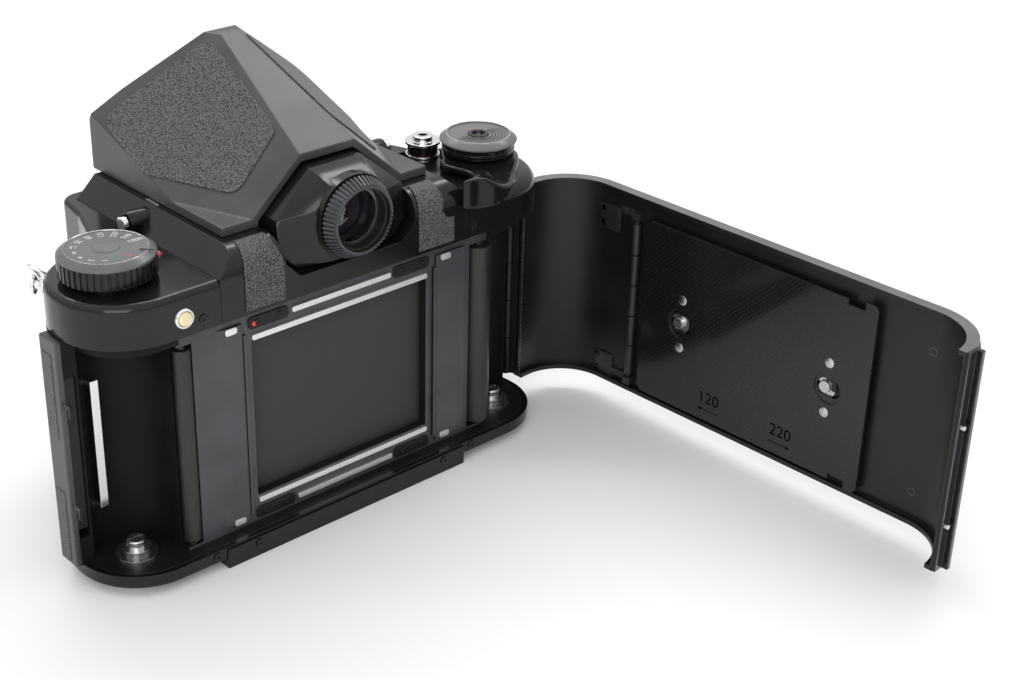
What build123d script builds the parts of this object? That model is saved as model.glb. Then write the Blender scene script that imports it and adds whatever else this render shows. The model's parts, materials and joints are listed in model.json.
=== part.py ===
"""Medium format single-lens reflex film camera, open at the back, with no lens on it.

Millimetres. +X is the left hand and +Y the photographer's side, seen from behind the camera,
and +Z is up. The origin lies on the base, under the film plane, on the lens's axis.
"""
from build123d import *
import os
from math import atan2, cos, degrees, hypot, radians, sin

os.makedirs("parts", exist_ok=True)

# Body shell
body_depth = 45.5          # from the grips' front to the back door's face
back_y = 5.5               # back door's outer face, behind the film plane
grip_flat = 0.75           # half the flat stretch between the two round corners of an end
end_wall = 3.1             # from a film chamber to the body's end
base_floor = 3.0           # underside of the base between its feet
base_height = 7.5          # base rim, where the door's lower edge runs
door_height = 77.5
cover_height = 14.0
sheet = 1.8                # wall of the base and of the top covers
slip = 0.1                 # gap between pieces that sit in each other
door_gap = 0.25            # gap above and below the back door

# Nose, the housing in front of the mirror
grip_face = 4.9            # flat front of each grip beside the nose
nose_shoulder = 8.8        # the nose narrows by this from the grips to its middle
nose_taper = 2.7           # and by this from there to its tip
nose_mid_y = -64.0
flange_focus = 84.95       # lens seat to film plane
mount_thick = 4.95
mount_r = 40.5
throat_r = 36.5
nose_wall = 3.0

# Film path
gate_rise = 37.0           # gate centre above the base rim
gate_width = 70.0
gate_tall = 55.0
rail_step = 0.8            # rails above the casting's gate face
gate_wall = 3.1
spool_y = -10.5
chamber_r = 12.8
ceiling_thick = 4.5        # casting above the film chambers
film_bridge = 5.9          # casting between a film chamber and the shutter drum's well
roller_left_in = 2.4       # rollers' axes, from the film chambers' edges
roller_left_r = 2.75
roller_right_in = 2.6
roller_right_r = 4.6
panel_gap = 3.7            # from the gate's edge to the flat panels beside it
panel_in = 10.0            # from the film chamber's edge to the flat panel

# Mirror, shutter and finder seat
box_margin = 4.0           # mirror box's side beyond the gate's edge
box_wall = 3.0
mirror_rise = 30.0         # mirror hinge above the lens's axis
mirror_y = -11.0
mirror_long = 64.0
mirror_clear = 2.5         # between the mirror's edges and the box's walls
drum_y = -11.0
drum_r = 5.2
drum_gap = 2.8             # between the mirror box and the shutter drum
drum_room = 0.6            # round the drum in its well
seat_out = 10.15           # finder seat beyond the mirror box, at the top covers
seat_top_out = 2.9         # and at its top
seat_height = 7.0          # finder seat above the covers
seat_front_y = -74.0
seat_rear_y = -6.4

# Finder
finder_out = 0.7           # finder's side beyond the mirror box
finder_front_y = -78.5
finder_wall = 2.4
flange_tall = 3.0
eye_rise = 62.0            # eyepiece above the lens's axis
eye_bore = 9.5

# Door and its hinge
door_wall = 2.0
door_rim = 4.0
hinge_out = 2.4            # hinge pin beyond the body's right wall
hinge_behind = 1.6         # hinge pin in front of the door's edge
hinge_pin_r = 1.0
door_open_deg = 92.0
door_free_back = 1.45      # door's free edge behind the middle of the body's depth
door_hinge_front = 3.35    # door's other edge in front of it
plate_half = 48.3
plate_tall = 67.0
plate_gap = 0.6            # closed plate behind the film plane
plate_thick = 1.2
plate_shift = 3.0
door_roller_r = 1.5
latch_travel = 2.6
latch_wide = 9.3           # latch slide on the left wall, from front to back
latch_thick = 1.8

# Controls
dial_in = 18.4             # speed dial's axis from the body's end, and in front of its middle
dial_front = 0.75
dial_r = 14.6
dial_tall = 8.0
hub_in = 18.4              # wind lever's axis from the body's end, and behind its middle
hub_back = 0.25
hub_r = 6.0
release_in = 28.4          # shutter release, from the body's end and from its front
release_deep = 5.8
release_r = 5.2
flange_r = 6.2             # flange on the shutter release
flange_clear = 0.5         # from it to the wind lever's ring
check_in = 28.2            # battery test button, from the body's end
lens_lock_out = 5.5        # lens lock beyond the mount ring
knob_r = 9.4
spindle_r = 6.7
run_gap = 0.05             # radial clearance of what turns or slides in a bore

# Sizes that follow, across the camera from the gate outwards
box_half = gate_width / 2 + box_margin
mirror_half = box_half - box_wall - mirror_clear
drum_x = box_half + box_wall + drum_gap + drum_r
chamber_edge_x = drum_x + drum_r + drum_room + film_bridge
spool_x = chamber_edge_x + chamber_r
body_half = spool_x + chamber_r + end_wall
roller_left_x = chamber_edge_x - roller_left_in
roller_right_x = roller_right_in - chamber_edge_x
panel_edge_x = gate_width / 2 + panel_gap
panel_out_x = chamber_edge_x - panel_in
seat_half = box_half + seat_out
seat_top_half = box_half + seat_top_out
finder_half = box_half + finder_out
corner_r = body_depth / 2 - grip_flat
nose_root_half = body_half - corner_r - grip_face
nose_mid_half = nose_root_half - nose_shoulder
nose_tip_half = nose_mid_half - nose_taper
dial_x = body_half - dial_in
hub_x = hub_in - body_half
release_x = release_in - body_half
check_x = body_half - check_in
lens_lock_x = mount_r + lens_lock_out

# Sizes that follow, upwards and from front to back
gate_z = base_height + gate_rise
door_top = base_height + door_height
cover_top = door_top + cover_height
seat_top = cover_top + seat_height
front_y = back_y - body_depth
land_y = -rail_step
nose_tip_y = -flange_focus + mount_thick
chamber_top = door_top - ceiling_thick
middle_y = back_y - body_depth / 2
door_free_y = middle_y + door_free_back
door_hinge_y = middle_y - door_hinge_front
hinge_y = door_hinge_y - hinge_behind
dial_y = middle_y - dial_front
hub_y = middle_y + hub_back
release_y = front_y + release_deep
lever_ring_r = hypot(release_x - hub_x, release_y - hub_y) - flange_r - flange_clear
cap_r = lever_ring_r
eye_z = gate_z + eye_rise
seam_x = seat_half + slip
hinge_x = -body_half - hinge_out
strip_face_x = body_half + slip + latch_thick

# Shared helpers


def block(x0, x1, y0, y1, z0, z1, mode=Mode.ADD):
    """A box given by its low and high faces."""
    with Locations(((x0 + x1) / 2, (y0 + y1) / 2, (z0 + z1) / 2)):
        Box(x1 - x0, y1 - y0, z1 - z0, mode=mode)


def post(x, y, z0, z1, r, mode=Mode.ADD):
    """An upright cylinder from z0 to z1."""
    with Locations((x, y, (z0 + z1) / 2)):
        Cylinder(r, z1 - z0, mode=mode)


def rod_y(x, z, y0, y1, r, mode=Mode.ADD):
    """A cylinder along Y from y0 to y1."""
    with Locations((x, (y0 + y1) / 2, z)):
        Cylinder(r, y1 - y0, rotation=(90, 0, 0), mode=mode)


def rod_x(y, z, x0, x1, r, mode=Mode.ADD):
    """A cylinder along X from x0 to x1."""
    with Locations(((x0 + x1) / 2, y, z)):
        Cylinder(r, x1 - x0, rotation=(0, 90, 0), mode=mode)


def mirrored(points):
    """An outline's right-hand points followed by their mirror images, back to front."""
    return points + [(-u, v) for u, v in reversed(points)]


def outline(points):
    """A closed straight-sided face in the sketch that is open, either way round."""
    turned = sum(a[0] * b[1] - b[0] * a[1] for a, b in zip(points, points[1:] + points[:1]))
    Polygon(*(points if turned > 0 else points[::-1]))


def body_plan(inset=0.0, mode=Mode.ADD):
    """The body's rounded outline from above, in the sketch that is open."""
    with Locations((0, back_y - body_depth / 2)):
        RectangleRounded(2 * (body_half - inset), body_depth - 2 * inset,
                         corner_r - inset, mode=mode)


def nose_plan(inset=0.0):
    """The nose's outline from above, running back into the body."""
    outline(mirrored([
        (nose_root_half - inset, front_y + corner_r),
        (nose_root_half - inset, front_y),
        (nose_mid_half - inset, nose_mid_y),
        (nose_tip_half - inset, nose_tip_y + inset),
    ]))


# Places that several pieces share
corner_plate_half = 7.5
corner_plate_x = gate_width / 2 - corner_plate_half + 1.0
short_rail_half = corner_plate_x - corner_plate_half - 1.3
long_rail_z = gate_tall / 2 + 1.5
short_rail_z = 33.8
plate_screws = [(side * (corner_plate_x + step), gate_z + level * short_rail_z)
                for side in (-1, 1) for level in (-1, 1) for step in (-4.2, 4.2)]
rear_screws = [(seam_x + 6.25, door_top + 3.9), (-seam_x - 1.05, door_top + 4.0)]
foot_x0, foot_x1 = -box_half - 8.0, box_half + 13.0
rim_screws = [(foot_x1 + 3.4, base_height - 1.9), (foot_x0 - 3.8, base_height - 1.9)]
lip_screws = [(foot_x1 - 12.0, base_height - 2.9), (foot_x0 + 9.3, base_height - 2.9)]
foot_front_y = -74.0
foot_lip = 0.7
lip_top = base_height - 0.8
socket_y = -30.0
battery_r = 6.5
battery_x, battery_y = foot_x0 - battery_r - 2.5, front_y + battery_r + 3.5
mount_screws = [(32.0 * side, gate_z + 22.6 * level) for side in (-1, 1) for level in (-1, 1)]
pad_wide = 4.2             # bright pads beside the gate's corners
pad_tall = 2.2
pad_sunk = 0.5
pads = [(side * (panel_edge_x + 4.1), gate_z + level * short_rail_z)
        for side in (-1, 1) for level in (-1, 1)]
screw_shank = 0.6
screw_head = 1.1
cover_shank = 0.8
cover_head = 1.5

guide_edge_x, guide_edge_y = chamber_edge_x - 4.7, -5.2   # where the curved film guide ends

# Body castings as one form: floor slab, chambers, gate wall and ceiling, open at the back
door_inset = door_rim + 0.5
left_step_y = door_free_y - 0.4
right_step_y = door_hinge_y - 0.4
channel_deep, channel_wide = 3.6, 5.2
channel_low, channel_high = base_height + 9.0, door_top - 13.0
with BuildPart() as casting_form:
    with BuildSketch(Plane.XY.offset(base_height)):
        body_plan(door_inset)
    extrude(amount=door_height)
    with BuildSketch(Plane.XY.offset(base_height)):
        body_plan()
        with Locations((body_half / 2, back_y)):
            Rectangle(body_half, 2 * (back_y - left_step_y), mode=Mode.SUBTRACT)
        with Locations((-body_half / 2, back_y)):
            Rectangle(body_half, 2 * (back_y - right_step_y), mode=Mode.SUBTRACT)
    extrude(amount=door_height)
    with BuildSketch(Plane.XY.offset(base_floor + sheet)):
        body_plan(sheet + slip)
        nose_plan(sheet + slip)
    extrude(amount=base_height - base_floor - sheet)
    # Gate face, then the film chambers with their open backs
    block(-spool_x + chamber_r, spool_x - chamber_r, land_y, back_y,
          base_height, door_top, mode=Mode.SUBTRACT)
    for side in (-1, 1):
        post(side * spool_x, spool_y, base_height, chamber_top, chamber_r, mode=Mode.SUBTRACT)
        block(min(side * (spool_x - chamber_r), side * body_half),
              max(side * (spool_x - chamber_r), side * body_half),
              spool_y, back_y, base_height, chamber_top, mode=Mode.SUBTRACT)
        post(side * spool_x, spool_y, base_floor, base_height,
             spindle_r + slip, mode=Mode.SUBTRACT)
        post(side * drum_x, drum_y, gate_z - 33, gate_z + 33, drum_r + drum_room, mode=Mode.SUBTRACT)
    # Take-up key's bore in the ceiling
    post(-spool_x, spool_y, chamber_top, door_top, 3.0 + run_gap, mode=Mode.SUBTRACT)
    # Raised film guides left and right of the gate
    with BuildSketch(Plane.XY.offset(gate_z - gate_rise + 2.0)):
        with BuildLine():
            Line((panel_edge_x, land_y - 3.0), (panel_edge_x, 0))
            Line((panel_edge_x, 0), (panel_edge_x + 3.0, 0))
            TangentArc((panel_edge_x + 3.0, 0), (guide_edge_x, guide_edge_y), tangent=(1, 0))
            Line((guide_edge_x, guide_edge_y), (panel_edge_x, land_y - 3.0))
        make_face()
    extrude(amount=2 * gate_rise - 4.0)
    block(-panel_out_x, -panel_edge_x, land_y - 0.2, 0, gate_z - 35, gate_z + 35)
    # Pockets for the two film rollers
    post(roller_left_x, -2.0, gate_z - 36, gate_z + 34, roller_left_r + 0.4,
         mode=Mode.SUBTRACT)
    block(roller_left_x, spool_x, -2.0 - roller_left_r, back_y, gate_z - 36, gate_z + 34,
          mode=Mode.SUBTRACT)
    post(roller_right_x, -2.0, gate_z - 36, gate_z + 34, roller_right_r + 0.5,
         mode=Mode.SUBTRACT)
    # Narrow ridges that keep the film's edges, and the pads' seats
    for side in (-1, 1):
        ridge_x = side * (panel_edge_x - 0.7)
        block(ridge_x - 0.5, ridge_x + 0.5, land_y - 0.2, 0.3, gate_z - 33, gate_z + 31)
    for x, z in pads:
        block(x - pad_wide / 2, x + pad_wide / 2, -pad_sunk, 1, z - pad_tall / 2, z + pad_tall / 2,
              mode=Mode.SUBTRACT)
    # Gate, shutter slot and the space that holds the mirror box
    block(-gate_width / 2, gate_width / 2, land_y - gate_wall, 0.4,
          gate_z - gate_tall / 2, gate_z + gate_tall / 2, mode=Mode.SUBTRACT)
    block(-drum_x, drum_x, drum_y + drum_r - 0.8, land_y - gate_wall, gate_z - 31, gate_z + 31,
          mode=Mode.SUBTRACT)
    block(-box_half - slip, box_half + slip, front_y - 1, land_y - gate_wall,
          base_height, door_top, mode=Mode.SUBTRACT)
    # Latch channel, tripod socket, battery well and screw holes
    block(body_half - channel_deep, body_half, left_step_y - channel_wide, left_step_y + 1,
          channel_low, channel_high, mode=Mode.SUBTRACT)
    post(0, socket_y, base_floor, base_height, 6.5 + slip, mode=Mode.SUBTRACT)
    post(battery_x, battery_y, base_floor, base_height + 26, battery_r + 0.3,
         mode=Mode.SUBTRACT)
    for x, z in plate_screws:
        rod_y(x, z, land_y - 2.2, land_y + 1, screw_shank, mode=Mode.SUBTRACT)

# Main casting: the floor slab and the gate wall, which stands between the side castings
tunnel_half = box_half + slip
with BuildPart() as main_casting:
    add(casting_form.part)
    block(-tunnel_half, tunnel_half, front_y - 1, back_y + 1, base_height, base_height + slip,
          mode=Mode.SUBTRACT)
    for side in (-1, 1):
        x0, x1 = sorted((side * tunnel_half, side * (body_half + 1)))
        block(x0, x1, front_y - 1, back_y + 1, base_height, door_top + 1, mode=Mode.SUBTRACT)
main_casting.part.label = "main_casting"
export_step(main_casting.part, "parts/main_casting.step")

# Side castings on the slab, each with one film chamber
for side, side_name in ((1, "supply_side_casting"), (-1, "takeup_side_casting")):
    with BuildPart() as side_casting:
        add(casting_form.part)
        x0, x1 = sorted((side * tunnel_half, side * (body_half + 1)))
        block(x0, x1, front_y - 1, back_y + 1, base_height, door_top, mode=Mode.INTERSECT)
    side_casting.part.label = side_name
    export_step(side_casting.part, f"parts/{side_name}.step")

# Base cover: a shallow tray under the casting and the nose
with BuildPart() as bottom_cover:
    with BuildSketch(Plane.XY.offset(base_floor)):
        body_plan()
        nose_plan()
    extrude(amount=base_height - base_floor)
    chamfer(bottom_cover.faces().sort_by(Axis.Z)[0].edges(), 0.6)
    with BuildSketch(Plane.XY.offset(base_floor + sheet)):
        body_plan(sheet)
        nose_plan(sheet)
    extrude(amount=base_height, mode=Mode.SUBTRACT)
    for side in (-1, 1):
        post(side * spool_x, spool_y, 0, base_height, knob_r + 0.3, mode=Mode.SUBTRACT)
    post(0, socket_y, 0, base_height, 6.5 + slip, mode=Mode.SUBTRACT)
    post(battery_x, battery_y, 0, base_height, battery_r + 2.0 + run_gap, mode=Mode.SUBTRACT)
    for x, z in rim_screws:
        rod_y(x, z, back_y - 2 * sheet, back_y, cover_shank, mode=Mode.SUBTRACT)
bottom_cover.part.label = "bottom_cover"
export_step(bottom_cover.part, "parts/bottom_cover.step")

# Tripod plate: raised foot under the middle of the base, with a lip up the back
with BuildPart() as tripod_plate:
    block(foot_x0, foot_x1, foot_front_y, back_y, 0, base_floor)
    block(foot_x0, foot_x1, back_y, back_y + foot_lip, 0, lip_top)
    fillet(tripod_plate.edges().filter_by(Axis.Z).group_by(Axis.Y)[0], 8.0)
    fillet(tripod_plate.edges().filter_by(Axis.Z).group_by(Axis.Y)[-1], 0.5)
    post(0, socket_y, -1, base_floor, 6.5 + slip, mode=Mode.SUBTRACT)
    for x, z in lip_screws:
        rod_y(x, z, back_y, back_y + foot_lip, cover_shank, mode=Mode.SUBTRACT)
tripod_plate.part.label = "tripod_plate"
export_step(tripod_plate.part, "parts/tripod_plate.step")

# Tripod socket: a flanged bush with the thread's bore
socket_bore_r = 2.6
socket_deep = 6.5
with BuildPart() as tripod_socket:
    post(0, socket_y, 0, base_height, 6.5)
    post(0, socket_y, 0, socket_deep, socket_bore_r, mode=Mode.SUBTRACT)
tripod_socket.part.label = "tripod_socket"
export_step(tripod_socket.part, "parts/tripod_socket.step")

# Nose shell round the mirror box
with BuildPart() as front_shell:
    with BuildSketch(Plane.XY.offset(base_height)):
        nose_plan()
        with Locations((0, front_y + body_depth)):
            Rectangle(2 * body_half, 2 * body_depth, mode=Mode.SUBTRACT)
    extrude(amount=cover_top - base_height)
    fillet(front_shell.edges().filter_by(Axis.Z).group_by(Axis.Y)[0], 6.0)
    fillet(front_shell.edges().filter_by(Axis.Z).filter_by(
        lambda e: abs(e.center().Y - nose_mid_y) < 0.1), 8.0)
    fillet(front_shell.faces().sort_by(Axis.Z)[-1].edges().filter_by(
        lambda e: e.center().Y < front_y - 0.1), 1.5)
    with BuildSketch(Plane.XY.offset(base_height)):
        nose_plan(nose_wall)
    extrude(amount=cover_top - base_height - sheet, mode=Mode.SUBTRACT)
    block(-seam_x, seam_x, seat_front_y - slip, front_y, door_top, cover_top,
          mode=Mode.SUBTRACT)
    rod_y(0, gate_z, nose_tip_y - 1, nose_tip_y + 2 * nose_wall, throat_r, mode=Mode.SUBTRACT)
    for level in (18.0, 30.0):
        rod_x(-71.0, gate_z + level, nose_tip_half - 6, nose_root_half, 3.0, mode=Mode.SUBTRACT)
    for x, z in mount_screws:
        rod_y(x, z, nose_tip_y, nose_tip_y + nose_wall, screw_shank, mode=Mode.SUBTRACT)
front_shell.part.label = "front_shell"
export_step(front_shell.part, "parts/front_shell.step")

# Mirror box: the tunnel from the lens mount to the shutter, open above for the screen
box_front_y = nose_tip_y + nose_wall
box_rear_y = drum_y + drum_r - 0.4
with BuildPart() as mirror_box:
    block(-box_half, box_half, box_front_y, box_rear_y, base_height, door_top)
    block(-box_half + box_wall, box_half - box_wall, box_front_y, box_rear_y,
          gate_z - mirror_rise, door_top, mode=Mode.SUBTRACT)
    block(-box_half + box_wall, box_half - box_wall, box_front_y + 4, box_rear_y - 4,
          base_height, gate_z - mirror_rise - 2.0, mode=Mode.SUBTRACT)
    block(-box_half, box_half, box_front_y, box_front_y + 3.5, door_top - 3.5, door_top)
    block(-box_half, box_half, box_rear_y - 2.5, box_rear_y, door_top - 3.0, door_top)
    rod_x(mirror_y, gate_z + mirror_rise, -box_half, box_half, 1.2 + run_gap,
          mode=Mode.SUBTRACT)
mirror_box.part.label = "mirror_box"
export_step(mirror_box.part, "parts/mirror_box.step")

# Reflex mirror on its hinge rod, resting at 45 degrees
with BuildPart() as reflex_mirror:
    with BuildSketch(Plane(origin=(0, mirror_y, gate_z + mirror_rise), x_dir=(1, 0, 0),
                           z_dir=(0, -sin(radians(45)), cos(radians(45))))):
        with Locations((0, -mirror_long / 2)):
            RectangleRounded(2 * mirror_half, mirror_long, 3.0)
    extrude(amount=-1.8)
    rod_x(mirror_y, gate_z + mirror_rise, -box_half + 1, box_half - 1, 1.2)
reflex_mirror.part.label = "reflex_mirror"
export_step(reflex_mirror.part, "parts/reflex_mirror.step")

# Lens mount: a ring on the nose with three notches that let the lens's lugs in
notch_wide, notch_deep, notch_long = 16.0, 1.6, 3.4
with BuildPart() as lens_mount_ring:
    rod_y(0, gate_z, nose_tip_y - mount_thick, nose_tip_y, mount_r)
    rod_y(0, gate_z, nose_tip_y - mount_thick, nose_tip_y, throat_r, mode=Mode.SUBTRACT)
    with BuildSketch(Plane.XZ.offset(flange_focus)):
        with Locations((0, gate_z)):
            with PolarLocations(throat_r, 3, start_angle=30):
                Rectangle(2 * notch_deep, notch_wide)
    extrude(amount=-notch_long, mode=Mode.SUBTRACT)
    for x, z in mount_screws:
        rod_y(x, z, nose_tip_y - mount_thick, nose_tip_y, screw_shank, mode=Mode.SUBTRACT)
        rod_y(x, z, nose_tip_y - mount_thick, nose_tip_y - mount_thick + 0.6, screw_head + slip,
              mode=Mode.SUBTRACT)
lens_mount_ring.part.label = "lens_mount_ring"
export_step(lens_mount_ring.part, "parts/lens_mount_ring.step")

# Lens lock: a sliding key on the nose beside the mount
with BuildPart() as lens_lock_lever:
    block(lens_lock_x - 3.0, lens_lock_x + 2.5, nose_tip_y - 3.2, nose_tip_y - run_gap,
          gate_z + 4, gate_z + 16)
    fillet(lens_lock_lever.edges().filter_by(Axis.Y), 1.5)
lens_lock_lever.part.label = "lens_lock_lever"
export_step(lens_lock_lever.part, "parts/lens_lock_lever.step")

# Two flash sockets on the nose's side
with BuildPart() as sync_terminals:
    for level in (18.0, 30.0):
        rod_x(-71.0, gate_z + level, nose_tip_half - 3.5, nose_tip_half + 5.5, 3.0 - slip / 2)
        rod_x(-71.0, gate_z + level, nose_tip_half + 2.4, nose_tip_half + 4.6, 4.4)
        rod_x(-71.0, gate_z + level, nose_tip_half + 1.5, nose_tip_half + 5.5, 1.6,
              mode=Mode.SUBTRACT)
sync_terminals.part.label = "sync_terminals"
export_step(sync_terminals.part, "parts/sync_terminals.step")

# Shutter cloth across the gate and its two drums
cloth_y = drum_y + drum_r + 0.05
with BuildPart() as shutter_curtain:
    block(-drum_x, drum_x, cloth_y, cloth_y + 0.35, gate_z - 30.5, gate_z + 30.5)
shutter_curtain.part.label = "shutter_curtain"
export_step(shutter_curtain.part, "parts/shutter_curtain.step")

for side, drum_name in ((1, "shutter_drum_left"), (-1, "shutter_drum_right")):
    with BuildPart() as drum:
        post(side * drum_x, drum_y, gate_z - 32.5, gate_z + 32.5, drum_r)
        post(side * drum_x, drum_y, gate_z - 32.5, gate_z + 32.5, 1.6, mode=Mode.SUBTRACT)
        with PolarLocations((side * drum_x, drum_y), 6):
            with Locations((drum_r, 0, gate_z)):
                Cylinder(0.5, 65, mode=Mode.SUBTRACT)
    drum.part.label = drum_name
    export_step(drum.part, f"parts/{drum_name}.step")

# Chromed film rails and pads round the gate
with BuildPart() as film_rails:
    for level in (-1, 1):
        block(-gate_width / 2, gate_width / 2, land_y, 0,
              gate_z + level * long_rail_z - 0.9, gate_z + level * long_rail_z + 0.9)
        block(-short_rail_half, short_rail_half, land_y, 0,
              gate_z + level * short_rail_z - 0.9, gate_z + level * short_rail_z + 0.9)
    for x, z in pads:
        block(x - pad_wide / 2, x + pad_wide / 2, -pad_sunk, rail_step / 2,
              z - pad_tall / 2, z + pad_tall / 2)
    fillet(film_rails.edges().filter_by(Axis.Y), 0.7)
film_rails.part.label = "film_rails"
export_step(film_rails.part, "parts/film_rails.step")

# Four corner plates that hold the short rails
with BuildPart() as gate_corner_plates:
    for side in (-1, 1):
        for level in (-1, 1):
            x, z = side * corner_plate_x, gate_z + level * short_rail_z
            block(x - corner_plate_half, x + corner_plate_half, land_y, land_y + 0.5,
                  z - 2.0, z + 2.0)
    fillet(gate_corner_plates.edges().filter_by(Axis.Y), 1.2)
    for x, z in plate_screws:
        rod_y(x, z, land_y, land_y + 0.5, screw_shank, mode=Mode.SUBTRACT)
gate_corner_plates.part.label = "gate_corner_plates"
export_step(gate_corner_plates.part, "parts/gate_corner_plates.step")

# Small screws of the gate, the covers, the base and the lens mount
with BuildPart() as body_screws:
    for x, z in plate_screws:
        rod_y(x, z, land_y + 0.5, land_y + 0.8, screw_head)
        rod_y(x, z, land_y - 2.0, land_y + 0.6, screw_shank - 0.02)
    for spots, face_y in ((rear_screws, back_y), (rim_screws, back_y),
                          (lip_screws, back_y + foot_lip)):
        for x, z in spots:
            rod_y(x, z, face_y, face_y + 0.45, cover_head)
            rod_y(x, z, face_y - 0.65, face_y + 0.1, cover_shank - 0.02)
    for x, z in mount_screws:
        rod_y(x, z, nose_tip_y - mount_thick + 0.05, nose_tip_y - mount_thick + 0.6, screw_head)
        rod_y(x, z, nose_tip_y - mount_thick + 0.5, nose_tip_y + 2.0, screw_shank - 0.02)
body_screws.part.label = "body_screws"
export_step(body_screws.part, "parts/body_screws.step")

# Film rollers beside the gate
for x, r, roller_name in ((roller_left_x, roller_left_r, "left_guide_roller"),
                          (roller_right_x, roller_right_r, "right_guide_roller")):
    with BuildPart() as roller:
        post(x, -2.0, gate_z - 34, gate_z + 33, r)
        fillet(roller.edges(), 0.4)
        post(x, -2.0, gate_z - 36, gate_z + 34, 1.2)
    roller.part.label = roller_name
    export_step(roller.part, f"parts/{roller_name}.step")

# Bright strip that steadies the fresh roll, on two feet in the chamber's wall
leaf_half = 22.0
leaf_wide = 2.8
leaf_thick = 0.5
leaf_reach = 9.9           # strip's middle from the spool's axis
leaf_turn = -60.0
foot_tall = 1.6
leaf_frame = Plane(origin=(spool_x, spool_y, gate_z),
                   x_dir=(cos(radians(leaf_turn)), sin(radians(leaf_turn)), 0), z_dir=(0, 0, 1))
with BuildPart(leaf_frame) as supply_leaf:
    with Locations(Location((leaf_reach, 0, 0), (0, 0, -leaf_turn))):
        Box(leaf_wide, leaf_thick, 2 * leaf_half)
    for low in (-leaf_half, leaf_half - foot_tall):
        block(leaf_reach, chamber_r - 0.1, -leaf_thick, leaf_thick, low, low + foot_tall)
supply_leaf.part.label = "supply_leaf"
export_step(supply_leaf.part, "parts/supply_leaf.step")

# Spool knobs under the base and the spindles that turn in them
knob_top = base_floor + 0.6
for side, knob_name, spindle_name in ((1, "supply_knob", "supply_spindle"),
                                      (-1, "takeup_knob", "takeup_spindle")):
    with BuildPart() as knob:
        post(side * spool_x, spool_y, 0.4, knob_top, knob_r)
        with PolarLocations((side * spool_x, spool_y), 24):
            with Locations((knob_r, 0, (knob_top + 0.4) / 2)):
                Cylinder(0.45, knob_top - 0.4, mode=Mode.SUBTRACT)
        post(side * spool_x, spool_y, 1.2, knob_top, 2.0 + run_gap, mode=Mode.SUBTRACT)
    knob.part.label = knob_name
    export_step(knob.part, f"parts/{knob_name}.step")

    with BuildPart() as spindle:
        post(side * spool_x, spool_y, 1.3, knob_top + 0.2, 2.0)
        post(side * spool_x, spool_y, knob_top + 0.1, base_height + 0.8, spindle_r)
        post(side * spool_x, spool_y, base_height + 0.6, base_height + 2.6, 4.6)
        post(side * spool_x, spool_y, base_height + 2.6, base_height + 5.6, 3.0)
        fillet(spindle.faces().sort_by(Axis.Z)[-1].edges(), 0.6)
        block(side * spool_x - 4.2, side * spool_x + 4.2, spool_y - 0.5, spool_y + 0.5,
              base_height + 3.6, base_height + 5.6, mode=Mode.SUBTRACT)
    spindle.part.label = spindle_name
    export_step(spindle.part, f"parts/{spindle_name}.step")

# Take-up key that drives the spool from the chamber's ceiling
with BuildPart() as takeup_key:
    post(-spool_x, spool_y, chamber_top - 3.0, door_top - 0.5, 3.0)
    post(-spool_x, spool_y, chamber_top - 1.6, chamber_top - run_gap, 6.2)
    block(-spool_x - 4.4, -spool_x + 4.4, spool_y - 0.7, spool_y + 0.7,
          chamber_top - 4.6, chamber_top - 1.6)
takeup_key.part.label = "takeup_key"
export_step(takeup_key.part, "parts/takeup_key.step")

# Battery and its screw cap in the base
with BuildPart() as battery:
    post(battery_x, battery_y, base_floor + sheet + 0.1, base_height + 24.6, battery_r)
    post(battery_x, battery_y, base_height + 24.5, base_height + 25.6, 3.0)
battery.part.label = "battery"
export_step(battery.part, "parts/battery.step")

with BuildPart() as battery_door:
    post(battery_x, battery_y, base_floor - 0.9, base_floor + sheet - slip / 2, battery_r + 2.0)
    chamfer(battery_door.faces().sort_by(Axis.Z)[0].edges(), 0.5)
    block(battery_x - 6.0, battery_x + 6.0, battery_y - 0.8, battery_y + 0.8,
          base_floor - 0.9, base_floor - 0.1, mode=Mode.SUBTRACT)
battery_door.part.label = "battery_door"
export_step(battery_door.part, "parts/battery_door.step")

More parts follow.
